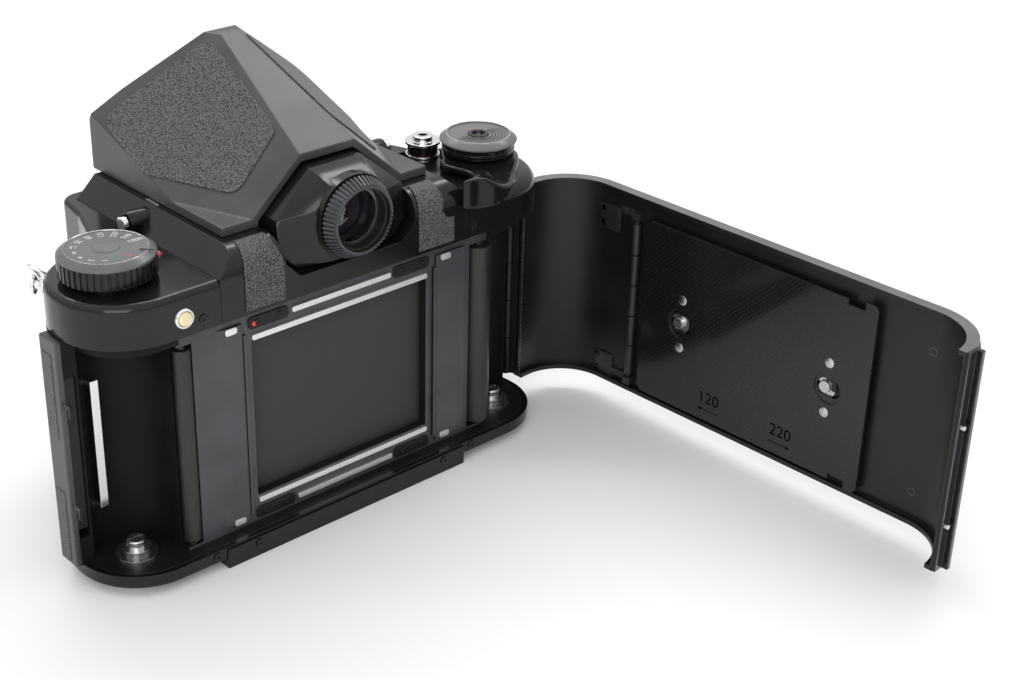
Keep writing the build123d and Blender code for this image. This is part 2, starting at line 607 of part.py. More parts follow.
# Finder seat: the middle of the top, with the recess for the eyepiece at the back
recess_half = 25.3
recess_floor_half = 20.0
recess_floor_z = gate_z + 47.4
recess_shoulder_z = gate_z + 52.7
saddle_r = 9.2
screen_half, screen_y0, screen_y1, screen_thick = box_half - 2.0, -71.0, -10.0, 3.0
light_half = screen_half - 2.0
with BuildPart() as finder_seat:
    with BuildSketch(Plane.XZ.offset(-seat_front_y)):
        outline(mirrored([(seat_half, door_top), (seat_half, cover_top),
                          (seat_top_half, seat_top)]))
    extrude(amount=-(seat_rear_y - seat_front_y))
    with BuildSketch(Plane.YZ):
        with BuildLine():
            Polyline((back_y, seat_top - saddle_r), (back_y, door_top),
                     (seat_rear_y - 1, door_top), (seat_rear_y - 1, seat_top),
                     (back_y - saddle_r, seat_top))
            ThreePointArc((back_y - saddle_r, seat_top),
                          (back_y - saddle_r * (1 - cos(radians(45))),
                           seat_top - saddle_r * (1 - sin(radians(45)))),
                          (back_y, seat_top - saddle_r))
        make_face()
    extrude(amount=seat_half, both=True)
    for side in (-1, 1):
        with BuildSketch(Plane.XZ.offset(-seat_front_y + 1)):
            outline([(side * seat_half, cover_top), (side * seat_top_half, seat_top),
                     (side * seat_top_half, seat_top + 1), (side * (seat_half + 1), seat_top + 1),
                     (side * (seat_half + 1), cover_top)])
        extrude(amount=-body_depth * 2, mode=Mode.SUBTRACT)
    with BuildSketch(Plane.XZ.offset(-back_y - 1)):
        outline(mirrored([(recess_floor_half, recess_floor_z), (recess_half, recess_shoulder_z),
                          (recess_half + 1.2, seat_top + 1)]))
    extrude(amount=27, mode=Mode.SUBTRACT)
    block(-screen_half - slip, screen_half + slip, screen_y0 - slip, screen_y1 + slip,
          door_top, door_top + screen_thick, mode=Mode.SUBTRACT)
    block(-light_half, light_half, screen_y0 + 2, screen_y1 - 2, door_top, seat_top + 1,
          mode=Mode.SUBTRACT)
    for side in (-1, 1):
        x0, x1 = sorted((side * (box_half - 1.0), side * (seat_half + 0.85)))
        rod_x(-42.0, seat_top - 4.0, x0, x1, 1.6 + run_gap, mode=Mode.SUBTRACT)
finder_seat.part.label = "finder_seat"
export_step(finder_seat.part, "parts/finder_seat.step")

# Ground glass screen on top of the mirror box
with BuildPart() as focusing_screen:
    block(-screen_half, screen_half, screen_y0, screen_y1, door_top, door_top + screen_thick)
focusing_screen.part.label = "focusing_screen"
export_step(focusing_screen.part, "parts/focusing_screen.step")

# Finder release buttons in the slopes of the seat
button_end = seat_half + 3.45
for side, button_name in ((1, "finder_release_left"), (-1, "finder_release_right")):
    with BuildPart() as button:
        for start, r in ((box_half + 2.0, 1.6), (button_end - 1.6, 2.3)):
            x0, x1 = sorted((side * start, side * button_end))
            rod_x(-42.0, seat_top - 4.0, x0, x1, r)
    button.part.label = button_name
    export_step(button.part, f"parts/{button_name}.step")

# Lamp that shows the battery's state
lamp_x, lamp_y, lamp_r = dial_x - dial_r - 4.6, dial_y - 4.3, 1.7
with BuildPart() as index_lamp:
    post(lamp_x, lamp_y, cover_top - sheet, cover_top + 0.2, lamp_r)
    with Locations((lamp_x, lamp_y, cover_top - 0.6)):
        Sphere(lamp_r)
index_lamp.part.label = "index_lamp"
export_step(index_lamp.part, "parts/index_lamp.step")


def cover_form(side):
    """One top cover as a closed block: the body's plan outside the finder seat."""
    with BuildPart(mode=Mode.PRIVATE) as form:
        with BuildSketch(Plane.XY.offset(door_top)):
            body_plan()
            with Locations((-side * (body_half - seam_x), 0)):
                Rectangle(2 * body_half, 4 * body_depth, mode=Mode.SUBTRACT)
        extrude(amount=cover_height)
    return form.part


def cover_hollow(side):
    """The space inside one top cover."""
    with BuildPart(mode=Mode.PRIVATE) as form:
        with BuildSketch(Plane.XY.offset(door_top)):
            body_plan(sheet)
            with Locations((-side * (body_half - seam_x - sheet), 0)):
                Rectangle(2 * body_half, 4 * body_depth, mode=Mode.SUBTRACT)
        extrude(amount=cover_height - sheet)
    return form.part


# Left top cover, under the shutter dial
left_block = cover_form(1)
left_hollow = cover_hollow(1)
dial_shaft_r = 3.0
with BuildPart() as top_cover_left:
    add(left_block)
    fillet(top_cover_left.faces().sort_by(Axis.Z)[-1].edges().filter_by(
        lambda e: e.center().X > seam_x + 1), 2.4)
    add(left_hollow, mode=Mode.SUBTRACT)
    post(dial_x, dial_y, door_top, cover_top + 1, dial_shaft_r + run_gap, mode=Mode.SUBTRACT)
    post(lamp_x, lamp_y, door_top, cover_top + 1, lamp_r + 0.02, mode=Mode.SUBTRACT)
    rod_y(check_x, gate_z + 46.6, back_y - 3 * sheet, back_y + 1, 2.2 + run_gap,
          mode=Mode.SUBTRACT)
    rod_y(rear_screws[0][0], rear_screws[0][1], back_y - 2 * sheet, back_y, cover_shank,
          mode=Mode.SUBTRACT)
top_cover_left.part.label = "top_cover_left"
export_step(top_cover_left.part, "parts/top_cover_left.step")

# Right top cover: rounded shoulder, hub for the wind lever and the thumb's notch
right_block = cover_form(-1)
right_hollow = cover_hollow(-1)
lever_low = cover_top + 0.95
lever_thick = 2.9
cap_low = lever_low + lever_thick + 0.4
cap_top = cap_low + 4.2
tab_inner_r = 25.4
lever_clear = 0.6          # between the lever and the finder seat's slope
tab_low = cover_top - 3.5
counter_low = cover_top - sheet - 1.3
with BuildPart() as top_cover_right:
    add(right_block)
    fillet(top_cover_right.faces().sort_by(Axis.Z)[-1].edges().filter_by(
        lambda e: e.center().X < -seam_x - 1), 6.0)
    add(right_hollow, mode=Mode.SUBTRACT)
    post(hub_x, hub_y, cover_top - sheet - 3.0, cap_low + 2.4, hub_r)
    post(hub_x, hub_y, cover_top - 0.1, lever_low - 0.1, hub_r + 3)
    # Notch behind the thumb piece, closed at the bottom
    with BuildSketch(Plane.XY.offset(tab_low - 1.0)):
        with Locations((hub_x, hub_y)):
            Circle(tab_inner_r + 12.5)
            Circle(tab_inner_r - 1.0, mode=Mode.SUBTRACT)
        with Locations((hub_x + 4.0, hub_y - 30)):
            Rectangle(120, 60 + 2 * 14.0, mode=Mode.SUBTRACT)
    extrude(amount=cover_height, mode=Mode.SUBTRACT)
    post(release_x, release_y, cover_top - 3 * sheet, cover_top + 1, release_r + run_gap,
         mode=Mode.SUBTRACT)
    block(hub_x + 10.6, hub_x + 14.2, hub_y - 4.2, hub_y + 0.2, cover_top - 2 * sheet,
          cover_top + 1, mode=Mode.SUBTRACT)
    rod_y(rear_screws[1][0], rear_screws[1][1], back_y - 2 * sheet, back_y, cover_shank,
          mode=Mode.SUBTRACT)
top_cover_right.part.label = "top_cover_right"
export_step(top_cover_right.part, "parts/top_cover_right.step")

# Frame counter's disc under the cover, on the lever's hub
with BuildPart() as counter_disc:
    post(hub_x, hub_y, counter_low, counter_low + 0.9, 14.4)
    post(hub_x, hub_y, counter_low, counter_low + 0.9, hub_r + run_gap, mode=Mode.SUBTRACT)
counter_disc.part.label = "counter_disc"
export_step(counter_disc.part, "parts/counter_disc.step")

# Wind lever: ring on the hub, blade and thumb piece
with BuildPart() as wind_lever:
    post(hub_x, hub_y, lever_low, lever_low + lever_thick, lever_ring_r)
    with BuildSketch(Plane.XY.offset(lever_low)):
        with BuildLine():
            Spline((hub_x - 7.0, hub_y + 12.8), (hub_x + 0.5, hub_y + 19.2),
                   (hub_x + 12.8, hub_y + 27.6))
            Polyline((hub_x + 12.8, hub_y + 27.6), (hub_x + 26.5, hub_y + 24.0),
                     (hub_x + 24.2, hub_y + 19.6))
            Spline((hub_x + 24.2, hub_y + 19.6), (hub_x + 16.0, hub_y + 17.4),
                   (hub_x + 10.5, hub_y + 10.0))
            Line((hub_x + 10.5, hub_y + 10.0), (hub_x - 7.0, hub_y + 12.8))
        make_face()
    extrude(amount=lever_thick)
    with BuildSketch(Plane.XY.offset(tab_low)):
        outline([(hub_x + 26.5, hub_y + 24.0), (hub_x + 12.8, hub_y + 27.6),
                 (hub_x + 11.6, hub_y + 23.4), (hub_x + 24.2, hub_y + 19.6)])
    extrude(amount=lever_low + lever_thick + 2.6 - tab_low)
    post(hub_x, hub_y, lever_low, lever_low + lever_thick, hub_r + run_gap, mode=Mode.SUBTRACT)
    with BuildSketch(Plane.XZ.offset(-back_y - 10)):
        outline([(-seat_half - lever_clear, tab_low - 1), (-seat_half - lever_clear, cover_top),
                 (-seat_top_half - lever_clear, seat_top), (-seat_top_half - lever_clear, seat_top + 5),
                 (0, seat_top + 5), (0, tab_low - 1)])
    extrude(amount=body_depth, mode=Mode.SUBTRACT)
wind_lever.part.label = "wind_lever"
export_step(wind_lever.part, "parts/wind_lever.step")

# Film reminder dial on top of the hub
with BuildPart() as reminder_dial:
    post(hub_x, hub_y, cap_low, cap_top, cap_r)
    fillet(reminder_dial.faces().sort_by(Axis.Z)[-1].edges(), 1.2)
    post(hub_x, hub_y, cap_low, cap_low + 2.5, hub_r + run_gap, mode=Mode.SUBTRACT)
    with BuildSketch(Plane.XY.offset(cap_top)):
        with Locations((hub_x, hub_y)):
            Circle(10.4)
            Circle(3.2, mode=Mode.SUBTRACT)
    extrude(amount=-0.5, mode=Mode.SUBTRACT)
reminder_dial.part.label = "reminder_dial"
export_step(reminder_dial.part, "parts/reminder_dial.step")

# Shutter release in its lock collar
collar_low = cover_top + 0.1
collar_tall = 0.7
collar_r = 5.9
with BuildPart() as release_collar:
    post(release_x, release_y, collar_low, collar_low + collar_tall, collar_r)
    post(release_x, release_y, collar_low, collar_low + collar_tall, release_r + run_gap,
         mode=Mode.SUBTRACT)
    block(release_x - collar_r - 2.2, release_x - collar_r + 0.5, release_y - 1.2, release_y + 1.2,
          collar_low, collar_low + collar_tall)
release_collar.part.label = "release_collar"
export_step(release_collar.part, "parts/release_collar.step")

release_top = cover_top + 5.4
with BuildPart() as shutter_release:
    post(release_x, release_y, cover_top - 2.6, release_top, release_r)
    post(release_x, release_y, release_top - 1.0, release_top, flange_r)
    post(release_x, release_y, release_top, release_top + 1.9, 3.6)
    fillet(shutter_release.faces().sort_by(Axis.Z)[-1].edges(), 0.5)
    post(release_x, release_y, release_top - 3, release_top + 1.9, 1.5, mode=Mode.SUBTRACT)
shutter_release.part.label = "shutter_release"
export_step(shutter_release.part, "parts/shutter_release.step")

# Shutter speed dial with its milled edge
dial_low = cover_top + 1.5
dial_ribs = 60
with BuildPart() as speed_dial:
    post(dial_x, dial_y, dial_low, dial_low + dial_tall, dial_r)
    chamfer(speed_dial.faces().sort_by(Axis.Z)[-1].edges(), 0.9)
    with PolarLocations((dial_x, dial_y), dial_ribs):
        with Locations((dial_r + 0.1, 0, dial_low + 3.4)):
            Cylinder(0.4, 5.6, mode=Mode.SUBTRACT)
    post(dial_x, dial_y, cover_top + 0.1, dial_low, dial_r - 3)
    post(dial_x, dial_y, cover_top - 6, cover_top + 0.2, dial_shaft_r)
speed_dial.part.label = "speed_dial"
export_step(speed_dial.part, "parts/speed_dial.step")

# Battery test button in the back of the left cover
check_z = gate_z + 46.6
with BuildPart() as battery_check_button:
    rod_y(check_x, check_z, back_y - 4.5, back_y + 1.4, 2.2)
    fillet(battery_check_button.faces().sort_by(Axis.Y)[-1].edges(), 0.5)
battery_check_button.part.label = "battery_check_button"
export_step(battery_check_button.part, "parts/battery_check_button.step")

# Strap lugs at the front corners
lug_turn = -44.0
lug_z = cover_top - 4.6
with BuildPart() as strap_lugs:
    for side, turn in ((1, lug_turn), (-1, 180 - lug_turn)):
        centre_x = side * (body_half - corner_r)
        centre_y = front_y + corner_r
        reach = Vector(cos(radians(turn)), sin(radians(turn)), 0)
        base_point = Vector(centre_x, centre_y, lug_z) + reach * corner_r
        with BuildSketch(Plane(origin=base_point, z_dir=reach)):
            Circle(2.6)
        extrude(amount=1.0)
        with BuildSketch(Plane(origin=base_point, z_dir=reach)):
            Circle(1.4)
        extrude(amount=3.0)
        with BuildSketch(Plane(origin=base_point + reach * 2.9, z_dir=reach)):
            Circle(2.9)
        extrude(amount=0.9)
strap_lugs.part.label = "strap_lugs"
export_step(strap_lugs.part, "parts/strap_lugs.step")

# Finder housing: a roofed prism shape with sloping sides and a hooded back
side_normal = Vector(0.639, 0.259, 0.723).normalized()
side_reach = 63.55         # sloping side's distance from the gate's centre
front_low = gate_z + 78.0
ridge_z = gate_z + 104.5
ridge_y0, ridge_y1 = -61.5, -55.5
hood_z = gate_z + 80.6


def finder_form(inset):
    """The finder's outer form, or its inside when inset is the wall."""
    with BuildPart(mode=Mode.PRIVATE) as form:
        with BuildSketch(Plane.YZ):
            outline([(finder_front_y, seat_top), (finder_front_y, front_low),
                     (finder_front_y + 5.0, front_low + 9.5), (ridge_y0, ridge_z),
                     (ridge_y1, ridge_z), (seat_rear_y, hood_z), (seat_rear_y, seat_top)])
            if inset > 0:
                offset(amount=-inset, kind=Kind.INTERSECTION, mode=Mode.REPLACE)
        extrude(amount=finder_half - inset, both=True)
        for side in (-1, 1):
            slope = Vector(side * side_normal.X, side_normal.Y, side_normal.Z)
            split(bisect_by=Plane(origin=Vector(0, 0, gate_z) + slope * (side_reach - inset),
                                  z_dir=slope), keep=Keep.BOTTOM)
    return form.part


finder_outer = finder_form(0)
finder_inner = finder_form(finder_wall)
with BuildPart() as finder_housing:
    add(finder_outer)
    block(-finder_half, finder_half, finder_front_y, seat_rear_y,
          seat_top, seat_top + flange_tall)
    add(finder_inner, mode=Mode.SUBTRACT)
    block(-light_half, light_half, screen_y0 + 2, screen_y1 - 2, seat_top,
          seat_top + finder_wall, mode=Mode.SUBTRACT)
    # Hood round the eyepiece block
    with BuildSketch(Plane.XZ.offset(-seat_rear_y)):
        outline(mirrored([(26.4, seat_top), (26.4, gate_z + 63.2), (10.1, gate_z + 78.0)]))
    extrude(amount=12.5, mode=Mode.SUBTRACT)
finder_housing.part.label = "finder_housing"
export_step(finder_housing.part, "parts/finder_housing.step")

# Leather inlays on the housing's sloping sides
inlay_thick = 0.5
inlay_corners = [(-56.3, 83.0), (-81.8, 48.8), (-58.9, 33.5), (-24.9, 33.3), (-20.4, 57.0)]
with BuildPart() as finder_leather:
    for side in (-1, 1):
        slope = Vector(side * side_normal.X, side_normal.Y, side_normal.Z)
        along = Vector(0, 0, 1).cross(slope).normalized()
        with BuildSketch(Plane(origin=Vector(0, 0, gate_z) + slope * side_reach,
                               x_dir=along, z_dir=slope)) as inlay:
            outline([(side * u, v) for u, v in inlay_corners])
            fillet(inlay.vertices(), 5.0)
        extrude(amount=inlay_thick)
finder_leather.part.label = "finder_leather"
export_step(finder_leather.part, "parts/finder_leather.step")

# Eyepiece block: fills the hood, then tapers to a round collar for the ring
block_rear_y = seat_rear_y - 12.0
block_front_y = 6.8
collar_rear_y = 5.0
eye_collar_r = 13.6
eye_collar_low = gate_z + 48.5
ring_seat = 2.0
taper_lean = 9.4           # the taper starts on a plane leaning by this angle
taper_y, taper_z = -2.7, gate_z + 77.0
taper_plane = Plane(origin=(0, taper_y, taper_z), x_dir=(1, 0, 0),
                    z_dir=(0, -cos(radians(taper_lean)), -sin(radians(taper_lean))))
hood_section = mirrored([(19.3, gate_z + 48.6), (24.4, gate_z + 53.9),
                         (24.4, gate_z + 64.6), (9.8, gate_z + 77.2)])
ring_section = mirrored([(7.7, eye_collar_low), (13.0, gate_z + 54.5),
                         (13.5, gate_z + 66.5), (8.0, gate_z + 73.4)])
with BuildPart() as eyepiece_block:
    with BuildSketch(Plane.XZ.offset(-block_rear_y)):
        outline(hood_section)
    extrude(amount=block_rear_y - block_front_y)
    split(bisect_by=taper_plane, keep=Keep.TOP)
    with BuildSketch(taper_plane):
        outline([(x, (z - taper_z) / cos(radians(taper_lean))) for x, z in hood_section])
    with BuildSketch(Plane.XZ.offset(-collar_rear_y)):
        outline(ring_section)
    loft(ruled=True)
    with BuildSketch(Plane.XZ.offset(-block_front_y)):
        with Locations((0, eye_z)):
            Circle(eye_collar_r)
        with Locations((0, eye_collar_low - eye_collar_r)):
            Rectangle(4 * eye_collar_r, 2 * eye_collar_r, mode=Mode.SUBTRACT)
    extrude(amount=block_front_y - collar_rear_y + 2.0)
    rod_y(0, eye_z, block_rear_y, block_front_y, eye_bore, mode=Mode.SUBTRACT)
    rod_y(0, eye_z, block_front_y - ring_seat, block_front_y, eye_bore + 1.5 + run_gap,
          mode=Mode.SUBTRACT)
eyepiece_block.part.label = "eyepiece_block"
export_step(eyepiece_block.part, "parts/eyepiece_block.step")

# Finder optics: the roof prism in the housing and the eyepiece lens in the block
prism_rear_y = seat_rear_y - 13.5
lens_thick = 3.2
lens_dome_r = 45.0
lens_rear_y = block_front_y - ring_seat - 1.6
lens_sag = lens_dome_r - (lens_dome_r ** 2 - eye_bore ** 2) ** 0.5
with BuildPart() as finder_optics:
    add(finder_inner)
    block(-body_half, body_half, prism_rear_y, 0, seat_top, ridge_z, mode=Mode.SUBTRACT)
    with BuildSketch(Plane.YZ):
        with BuildLine():
            Polyline((lens_rear_y, eye_z), (lens_rear_y - lens_thick, eye_z),
                     (lens_rear_y - lens_thick, eye_z + eye_bore),
                     (lens_rear_y - lens_sag, eye_z + eye_bore))
            RadiusArc((lens_rear_y - lens_sag, eye_z + eye_bore), (lens_rear_y, eye_z), lens_dome_r)
        make_face()
    revolve(axis=Axis((0, 0, eye_z), (0, 1, 0)), revolution_arc=360)
finder_optics.part.label = "finder_optics"
export_step(finder_optics.part, "parts/finder_optics.step")

# Ribbed ring that screws into the block
ring_wide_r, ring_narrow_r = 13.1, 11.3
ring_low_y, ring_high_y = block_front_y + 0.2, 11.5
ring_edge_y = ring_low_y + 1.0
ring_ribs = 54
with BuildPart() as eyepiece_ring:
    with BuildSketch(Plane.YZ):
        outline([(block_front_y - ring_seat + slip, eye_z + eye_bore),
                 (block_front_y - ring_seat + slip, eye_z + eye_bore + 1.5),
                 (ring_low_y, eye_z + eye_bore + 1.5), (ring_low_y, eye_z + ring_wide_r),
                 (ring_edge_y, eye_z + ring_wide_r), (ring_high_y, eye_z + ring_narrow_r),
                 (ring_high_y, eye_z + ring_narrow_r - 1.0), (ring_low_y + 2.0, eye_z + eye_bore)])
    revolve(axis=Axis((0, 0, eye_z), (0, 1, 0)), revolution_arc=360)
    groove = (ring_wide_r + ring_narrow_r) / 2 + 0.5
    lean = degrees(atan2(ring_wide_r - ring_narrow_r, ring_high_y - ring_edge_y))
    for i in range(ring_ribs):
        turn = radians(360 * i / ring_ribs)
        with Locations(Location((groove * sin(turn), (ring_low_y + ring_high_y) / 2 + 0.6,
                                 eye_z + groove * cos(turn)), (0, degrees(turn), 0))):
            Box(0.75, ring_high_y - ring_low_y, 1.3, rotation=(-lean, 0, 0),
                mode=Mode.SUBTRACT)
eyepiece_ring.part.label = "eyepiece_ring"
export_step(eyepiece_ring.part, "parts/eyepiece_ring.step")

# Body leather: two patches beside the eyepiece and two on the grips
leather = 0.5
grip_edge_y = hinge_y - 9.5   # grips' leather ends in front of the hinge and the latch
with BuildPart() as body_leather:
    with BuildSketch(Plane.YZ):
        with BuildLine():
            Line((back_y, gate_z + 41.8), (back_y, seat_top - saddle_r))
            ThreePointArc((back_y, seat_top - saddle_r),
                          (back_y - saddle_r * (1 - cos(radians(40))),
                           seat_top - saddle_r * (1 - sin(radians(40)))),
                          (back_y - saddle_r * (1 - cos(radians(80))),
                           seat_top - saddle_r * (1 - sin(radians(80)))))
            Line((back_y - saddle_r * (1 - cos(radians(80))),
                  seat_top - saddle_r * (1 - sin(radians(80)))),
                 (back_y - saddle_r + (saddle_r + leather) * cos(radians(80)),
                  seat_top - saddle_r + (saddle_r + leather) * sin(radians(80))))
            ThreePointArc((back_y - saddle_r + (saddle_r + leather) * cos(radians(80)),
                           seat_top - saddle_r + (saddle_r + leather) * sin(radians(80))),
                          (back_y - saddle_r + (saddle_r + leather) * cos(radians(40)),
                           seat_top - saddle_r + (saddle_r + leather) * sin(radians(40))),
                          (back_y + leather, seat_top - saddle_r))
            Line((back_y + leather, seat_top - saddle_r), (back_y + leather, gate_z + 41.8))
            Line((back_y + leather, gate_z + 41.8), (back_y, gate_z + 41.8))
        make_face()
    extrude(amount=seat_top_half, both=True)
    with BuildSketch(Plane.XZ.offset(-back_y - 2)):
        outline([(26.4, gate_z + 41), (26.2, gate_z + 54.0), (28.4, seat_top + 1),
                 (seat_top_half - 3.3, seat_top + 1), (seat_top_half - 1.2, gate_z + 54.5),
                 (seat_top_half - 1.2, gate_z + 41)])
        outline([(-26.6, gate_z + 41), (-26.4, gate_z + 54.0), (-28.4, seat_top + 1),
                 (4.9 - seat_top_half, seat_top + 1), (4.3 - seat_top_half, gate_z + 57.0),
                 (5.5 - seat_top_half, gate_z + 53.5), (3.7 - seat_top_half, gate_z + 50.8),
                 (0.5 - seat_top_half, gate_z + 50.4), (0.5 - seat_top_half, gate_z + 41)])
    extrude(amount=saddle_r + 6, mode=Mode.INTERSECT)
    for side in (-1, 1):
        block(min(side * (nose_root_half + 0.8), side * (body_half - corner_r)),
              max(side * (nose_root_half + 0.8), side * (body_half - corner_r)),
              front_y - leather, front_y, base_height + 2, door_top - 1)
        with BuildSketch(Plane.XY.offset(base_height + 2)):
            with Locations((side * (body_half - corner_r), front_y + corner_r)):
                Circle(corner_r + leather)
                Circle(corner_r, mode=Mode.SUBTRACT)
            with Locations((side * (body_half - corner_r), grip_edge_y + body_depth / 2)):
                Rectangle(body_depth * 2, body_depth, mode=Mode.SUBTRACT)
            with Locations((side * (body_half - corner_r - body_depth / 2),
                            front_y + corner_r)):
                Rectangle(body_depth, body_depth * 2, mode=Mode.SUBTRACT)
        extrude(amount=door_height - 3)
body_leather.part.label = "body_leather"
export_step(body_leather.part, "parts/body_leather.step")

# Latch slide on the left wall, with two leather pads let into its face
strip_y0, strip_y1 = left_step_y - latch_wide, left_step_y
strip_low, strip_high = base_height - 1.0, door_top - 0.6
pad_gap = 1.4
with BuildPart() as latch_strip:
    block(body_half - corner_r / 4, strip_face_x, strip_y0, strip_y1, strip_low, strip_high)
    fillet(latch_strip.edges().filter_by(Axis.X), 0.8)
    fillet(latch_strip.faces().sort_by(Axis.X)[-1].edges(), 0.6)
    with BuildSketch(Plane.XY.offset(strip_low)):
        body_plan(-slip)
    extrude(amount=strip_high - strip_low, mode=Mode.SUBTRACT)
    for low, high in ((strip_low + pad_gap, gate_z - 12.0), (gate_z + 6.5, strip_high - 5.0)):
        block(strip_face_x - 0.2, strip_face_x + leather / 2, strip_y0 + pad_gap, strip_y1 - 3.0,
              low, high)
latch_strip.part.label = "latch_strip"
export_step(latch_strip.part, "parts/latch_strip.step")

# Latch bar in the channel behind the slide, with two hooks that drop behind the door's pins
pin_levels = [gate_z + 15.0, gate_z - 20.0]
pin_r = 0.8
pin_y = left_step_y + 2.0
hook_clear = 0.25
hook_thick = 1.0
hook_x0 = body_half + slip + 0.2
hook_x1 = strip_face_x - 0.5
hook_y0 = pin_y + pin_r + hook_clear
hook_y1 = hook_y0 + hook_thick
hook_rise = pin_r + hook_clear
with BuildPart() as latch_bar:
    block(body_half - channel_deep + 0.2, body_half + slip, left_step_y - channel_wide + 0.2,
          left_step_y - 0.4, channel_low + latch_travel + 0.3, channel_high - 0.3)
    with BuildSketch(Plane.XY.offset(channel_low)):
        body_plan(-slip)
    extrude(amount=channel_high - channel_low, mode=Mode.INTERSECT)
    for level in pin_levels:
        arm_low = level + hook_rise + latch_travel
        block(hook_x0, hook_x1, strip_y1, hook_y1, arm_low, arm_low + 1.4)
        block(hook_x0, hook_x1, hook_y0, hook_y1, level + hook_rise, arm_low + 1.4)
latch_bar.part.label = "latch_bar"
export_step(latch_bar.part, "parts/latch_bar.step")

# Hinge strip on the right end with three knuckles, and the pin through them
knuckle_r = 1.9
knuckle_gap = 0.3
knuckle_edges = [base_height + 1.0 + i * (door_height - 2.0) / 5 for i in range(6)]
hinge_leaf_y0, hinge_leaf_y1 = hinge_y - 8.0, hinge_y - 2.2
hinge_leaf_thick = 0.9
with BuildPart() as hinge_strip:
    with BuildSketch(Plane.XY.offset(knuckle_edges[0])):
        body_plan(-hinge_leaf_thick)
        body_plan(mode=Mode.SUBTRACT)
        with Locations((-body_half, (hinge_leaf_y0 + hinge_leaf_y1) / 2)):
            Rectangle(body_half, hinge_leaf_y1 - hinge_leaf_y0, mode=Mode.INTERSECT)
    extrude(amount=knuckle_edges[-1] - knuckle_edges[0])
    for low, high in zip(knuckle_edges[0::2], knuckle_edges[1::2]):
        with BuildSketch(Plane.XY.offset(low + knuckle_gap / 2)):
            with Locations((hinge_x, hinge_y)):
                Circle(knuckle_r)
            outline([(hinge_x - knuckle_r, hinge_y), (hinge_x + 0.4, hinge_y),
                     (-body_half + 1.0, hinge_leaf_y1), (-body_half + 1.0, hinge_leaf_y1 - 2.4)])
            body_plan(mode=Mode.SUBTRACT)
            with Locations((hinge_x, hinge_y)):
                Circle(hinge_pin_r, mode=Mode.SUBTRACT)
        extrude(amount=high - low - knuckle_gap)
hinge_strip.part.label = "hinge_strip"
export_step(hinge_strip.part, "parts/hinge_strip.step")

with BuildPart() as hinge_pin:
    post(hinge_x, hinge_y, knuckle_edges[0], knuckle_edges[-1], hinge_pin_r)
hinge_pin.part.label = "hinge_pin"
export_step(hinge_pin.part, "parts/hinge_pin.step")

# Everything on the door is drawn where it lies when shut, in a frame turned about the hinge
swing = radians(door_open_deg)
door_frame = Plane(
    origin=(hinge_x - (cos(swing) * hinge_x - sin(swing) * hinge_y),
            hinge_y - (sin(swing) * hinge_x + cos(swing) * hinge_y), 0),
    x_dir=(cos(swing), sin(swing), 0), z_dir=(0, 0, 1))
door_low, door_high = base_height + door_gap, door_top - door_gap
rim_tall = 1.6             # lips along the door's upper and lower edges
inner_y = back_y - door_wall


def on_door(plane):
    """A plane given for the shut door, moved with the open door."""
    return Plane(door_frame.location * plane.location)


def door_plan(outer, inner):
    """The door's wall from above between two insets, in the sketch that is open."""
    body_plan(outer)
    body_plan(inner, mode=Mode.SUBTRACT)
    with Locations((body_half, door_free_y - body_depth)):
        Rectangle(2 * body_half, 2 * body_depth, mode=Mode.SUBTRACT)
    with Locations((-body_half, door_hinge_y - body_depth)):
        Rectangle(2 * body_half, 2 * body_depth, mode=Mode.SUBTRACT)


stud_x = 31.4              # pressure plate's two studs
stud_z = gate_z - 0.7
seat_tall = 1.0
ledge_y = hook_y1 + hook_clear
flange_thick = 1.8
face_sunk = 1.1            # polished face of the door's free edge, below the door's outside
face_clear = 0.1
with BuildPart(door_frame) as back_door:
    with BuildSketch(door_frame.offset(door_low)):
        door_plan(0, door_wall)
    extrude(amount=door_high - door_low)
    for low in (door_low, door_high - rim_tall):
        with BuildSketch(door_frame.offset(low)):
            door_plan(door_wall / 2, door_rim)
        extrude(amount=rim_tall)
    # Ledge for the latch strip along the free edge
    block(body_half - face_sunk, body_half + 1, door_free_y - 1, ledge_y + flange_thick,
          door_low, door_high, mode=Mode.SUBTRACT)
    # Knuckles at the other edge
    for low, high in zip(knuckle_edges[1::2], knuckle_edges[2::2]):
        with BuildSketch(door_frame.offset(low + knuckle_gap / 2)):
            with Locations((hinge_x, hinge_y)):
                Circle(knuckle_r)
            outline([(hinge_x - knuckle_r, hinge_y), (hinge_x + knuckle_r - 0.4, hinge_y),
                     (-body_half - slip, door_hinge_y), (-body_half + 0.8, door_hinge_y + 0.05),
                     (-body_half + 0.8, door_hinge_y + 3.0), (-body_half, door_hinge_y + 3.0)])
            with Locations((hinge_x, hinge_y)):
                Circle(hinge_pin_r + run_gap, mode=Mode.SUBTRACT)
        extrude(amount=high - low - knuckle_gap)
    # Seats for the pressure plate's studs
    for x in (-stud_x, stud_x):
        rod_y(x, stud_z, inner_y - seat_tall, inner_y + 0.1, 5.4)
back_door.part.label = "back_door"
export_step(back_door.part, "parts/back_door.step")

# Edge strip of the door: a polished face and the flange that covers the latch
with BuildPart(door_frame) as door_edge_strip:
    block(body_half - face_sunk, body_half - face_clear, door_free_y, ledge_y + flange_thick,
          door_low, door_high)
    block(body_half - face_sunk, strip_face_x, ledge_y, ledge_y + flange_thick,
          door_low, door_high)
door_edge_strip.part.label = "door_edge_strip"
export_step(door_edge_strip.part, "parts/door_edge_strip.step")

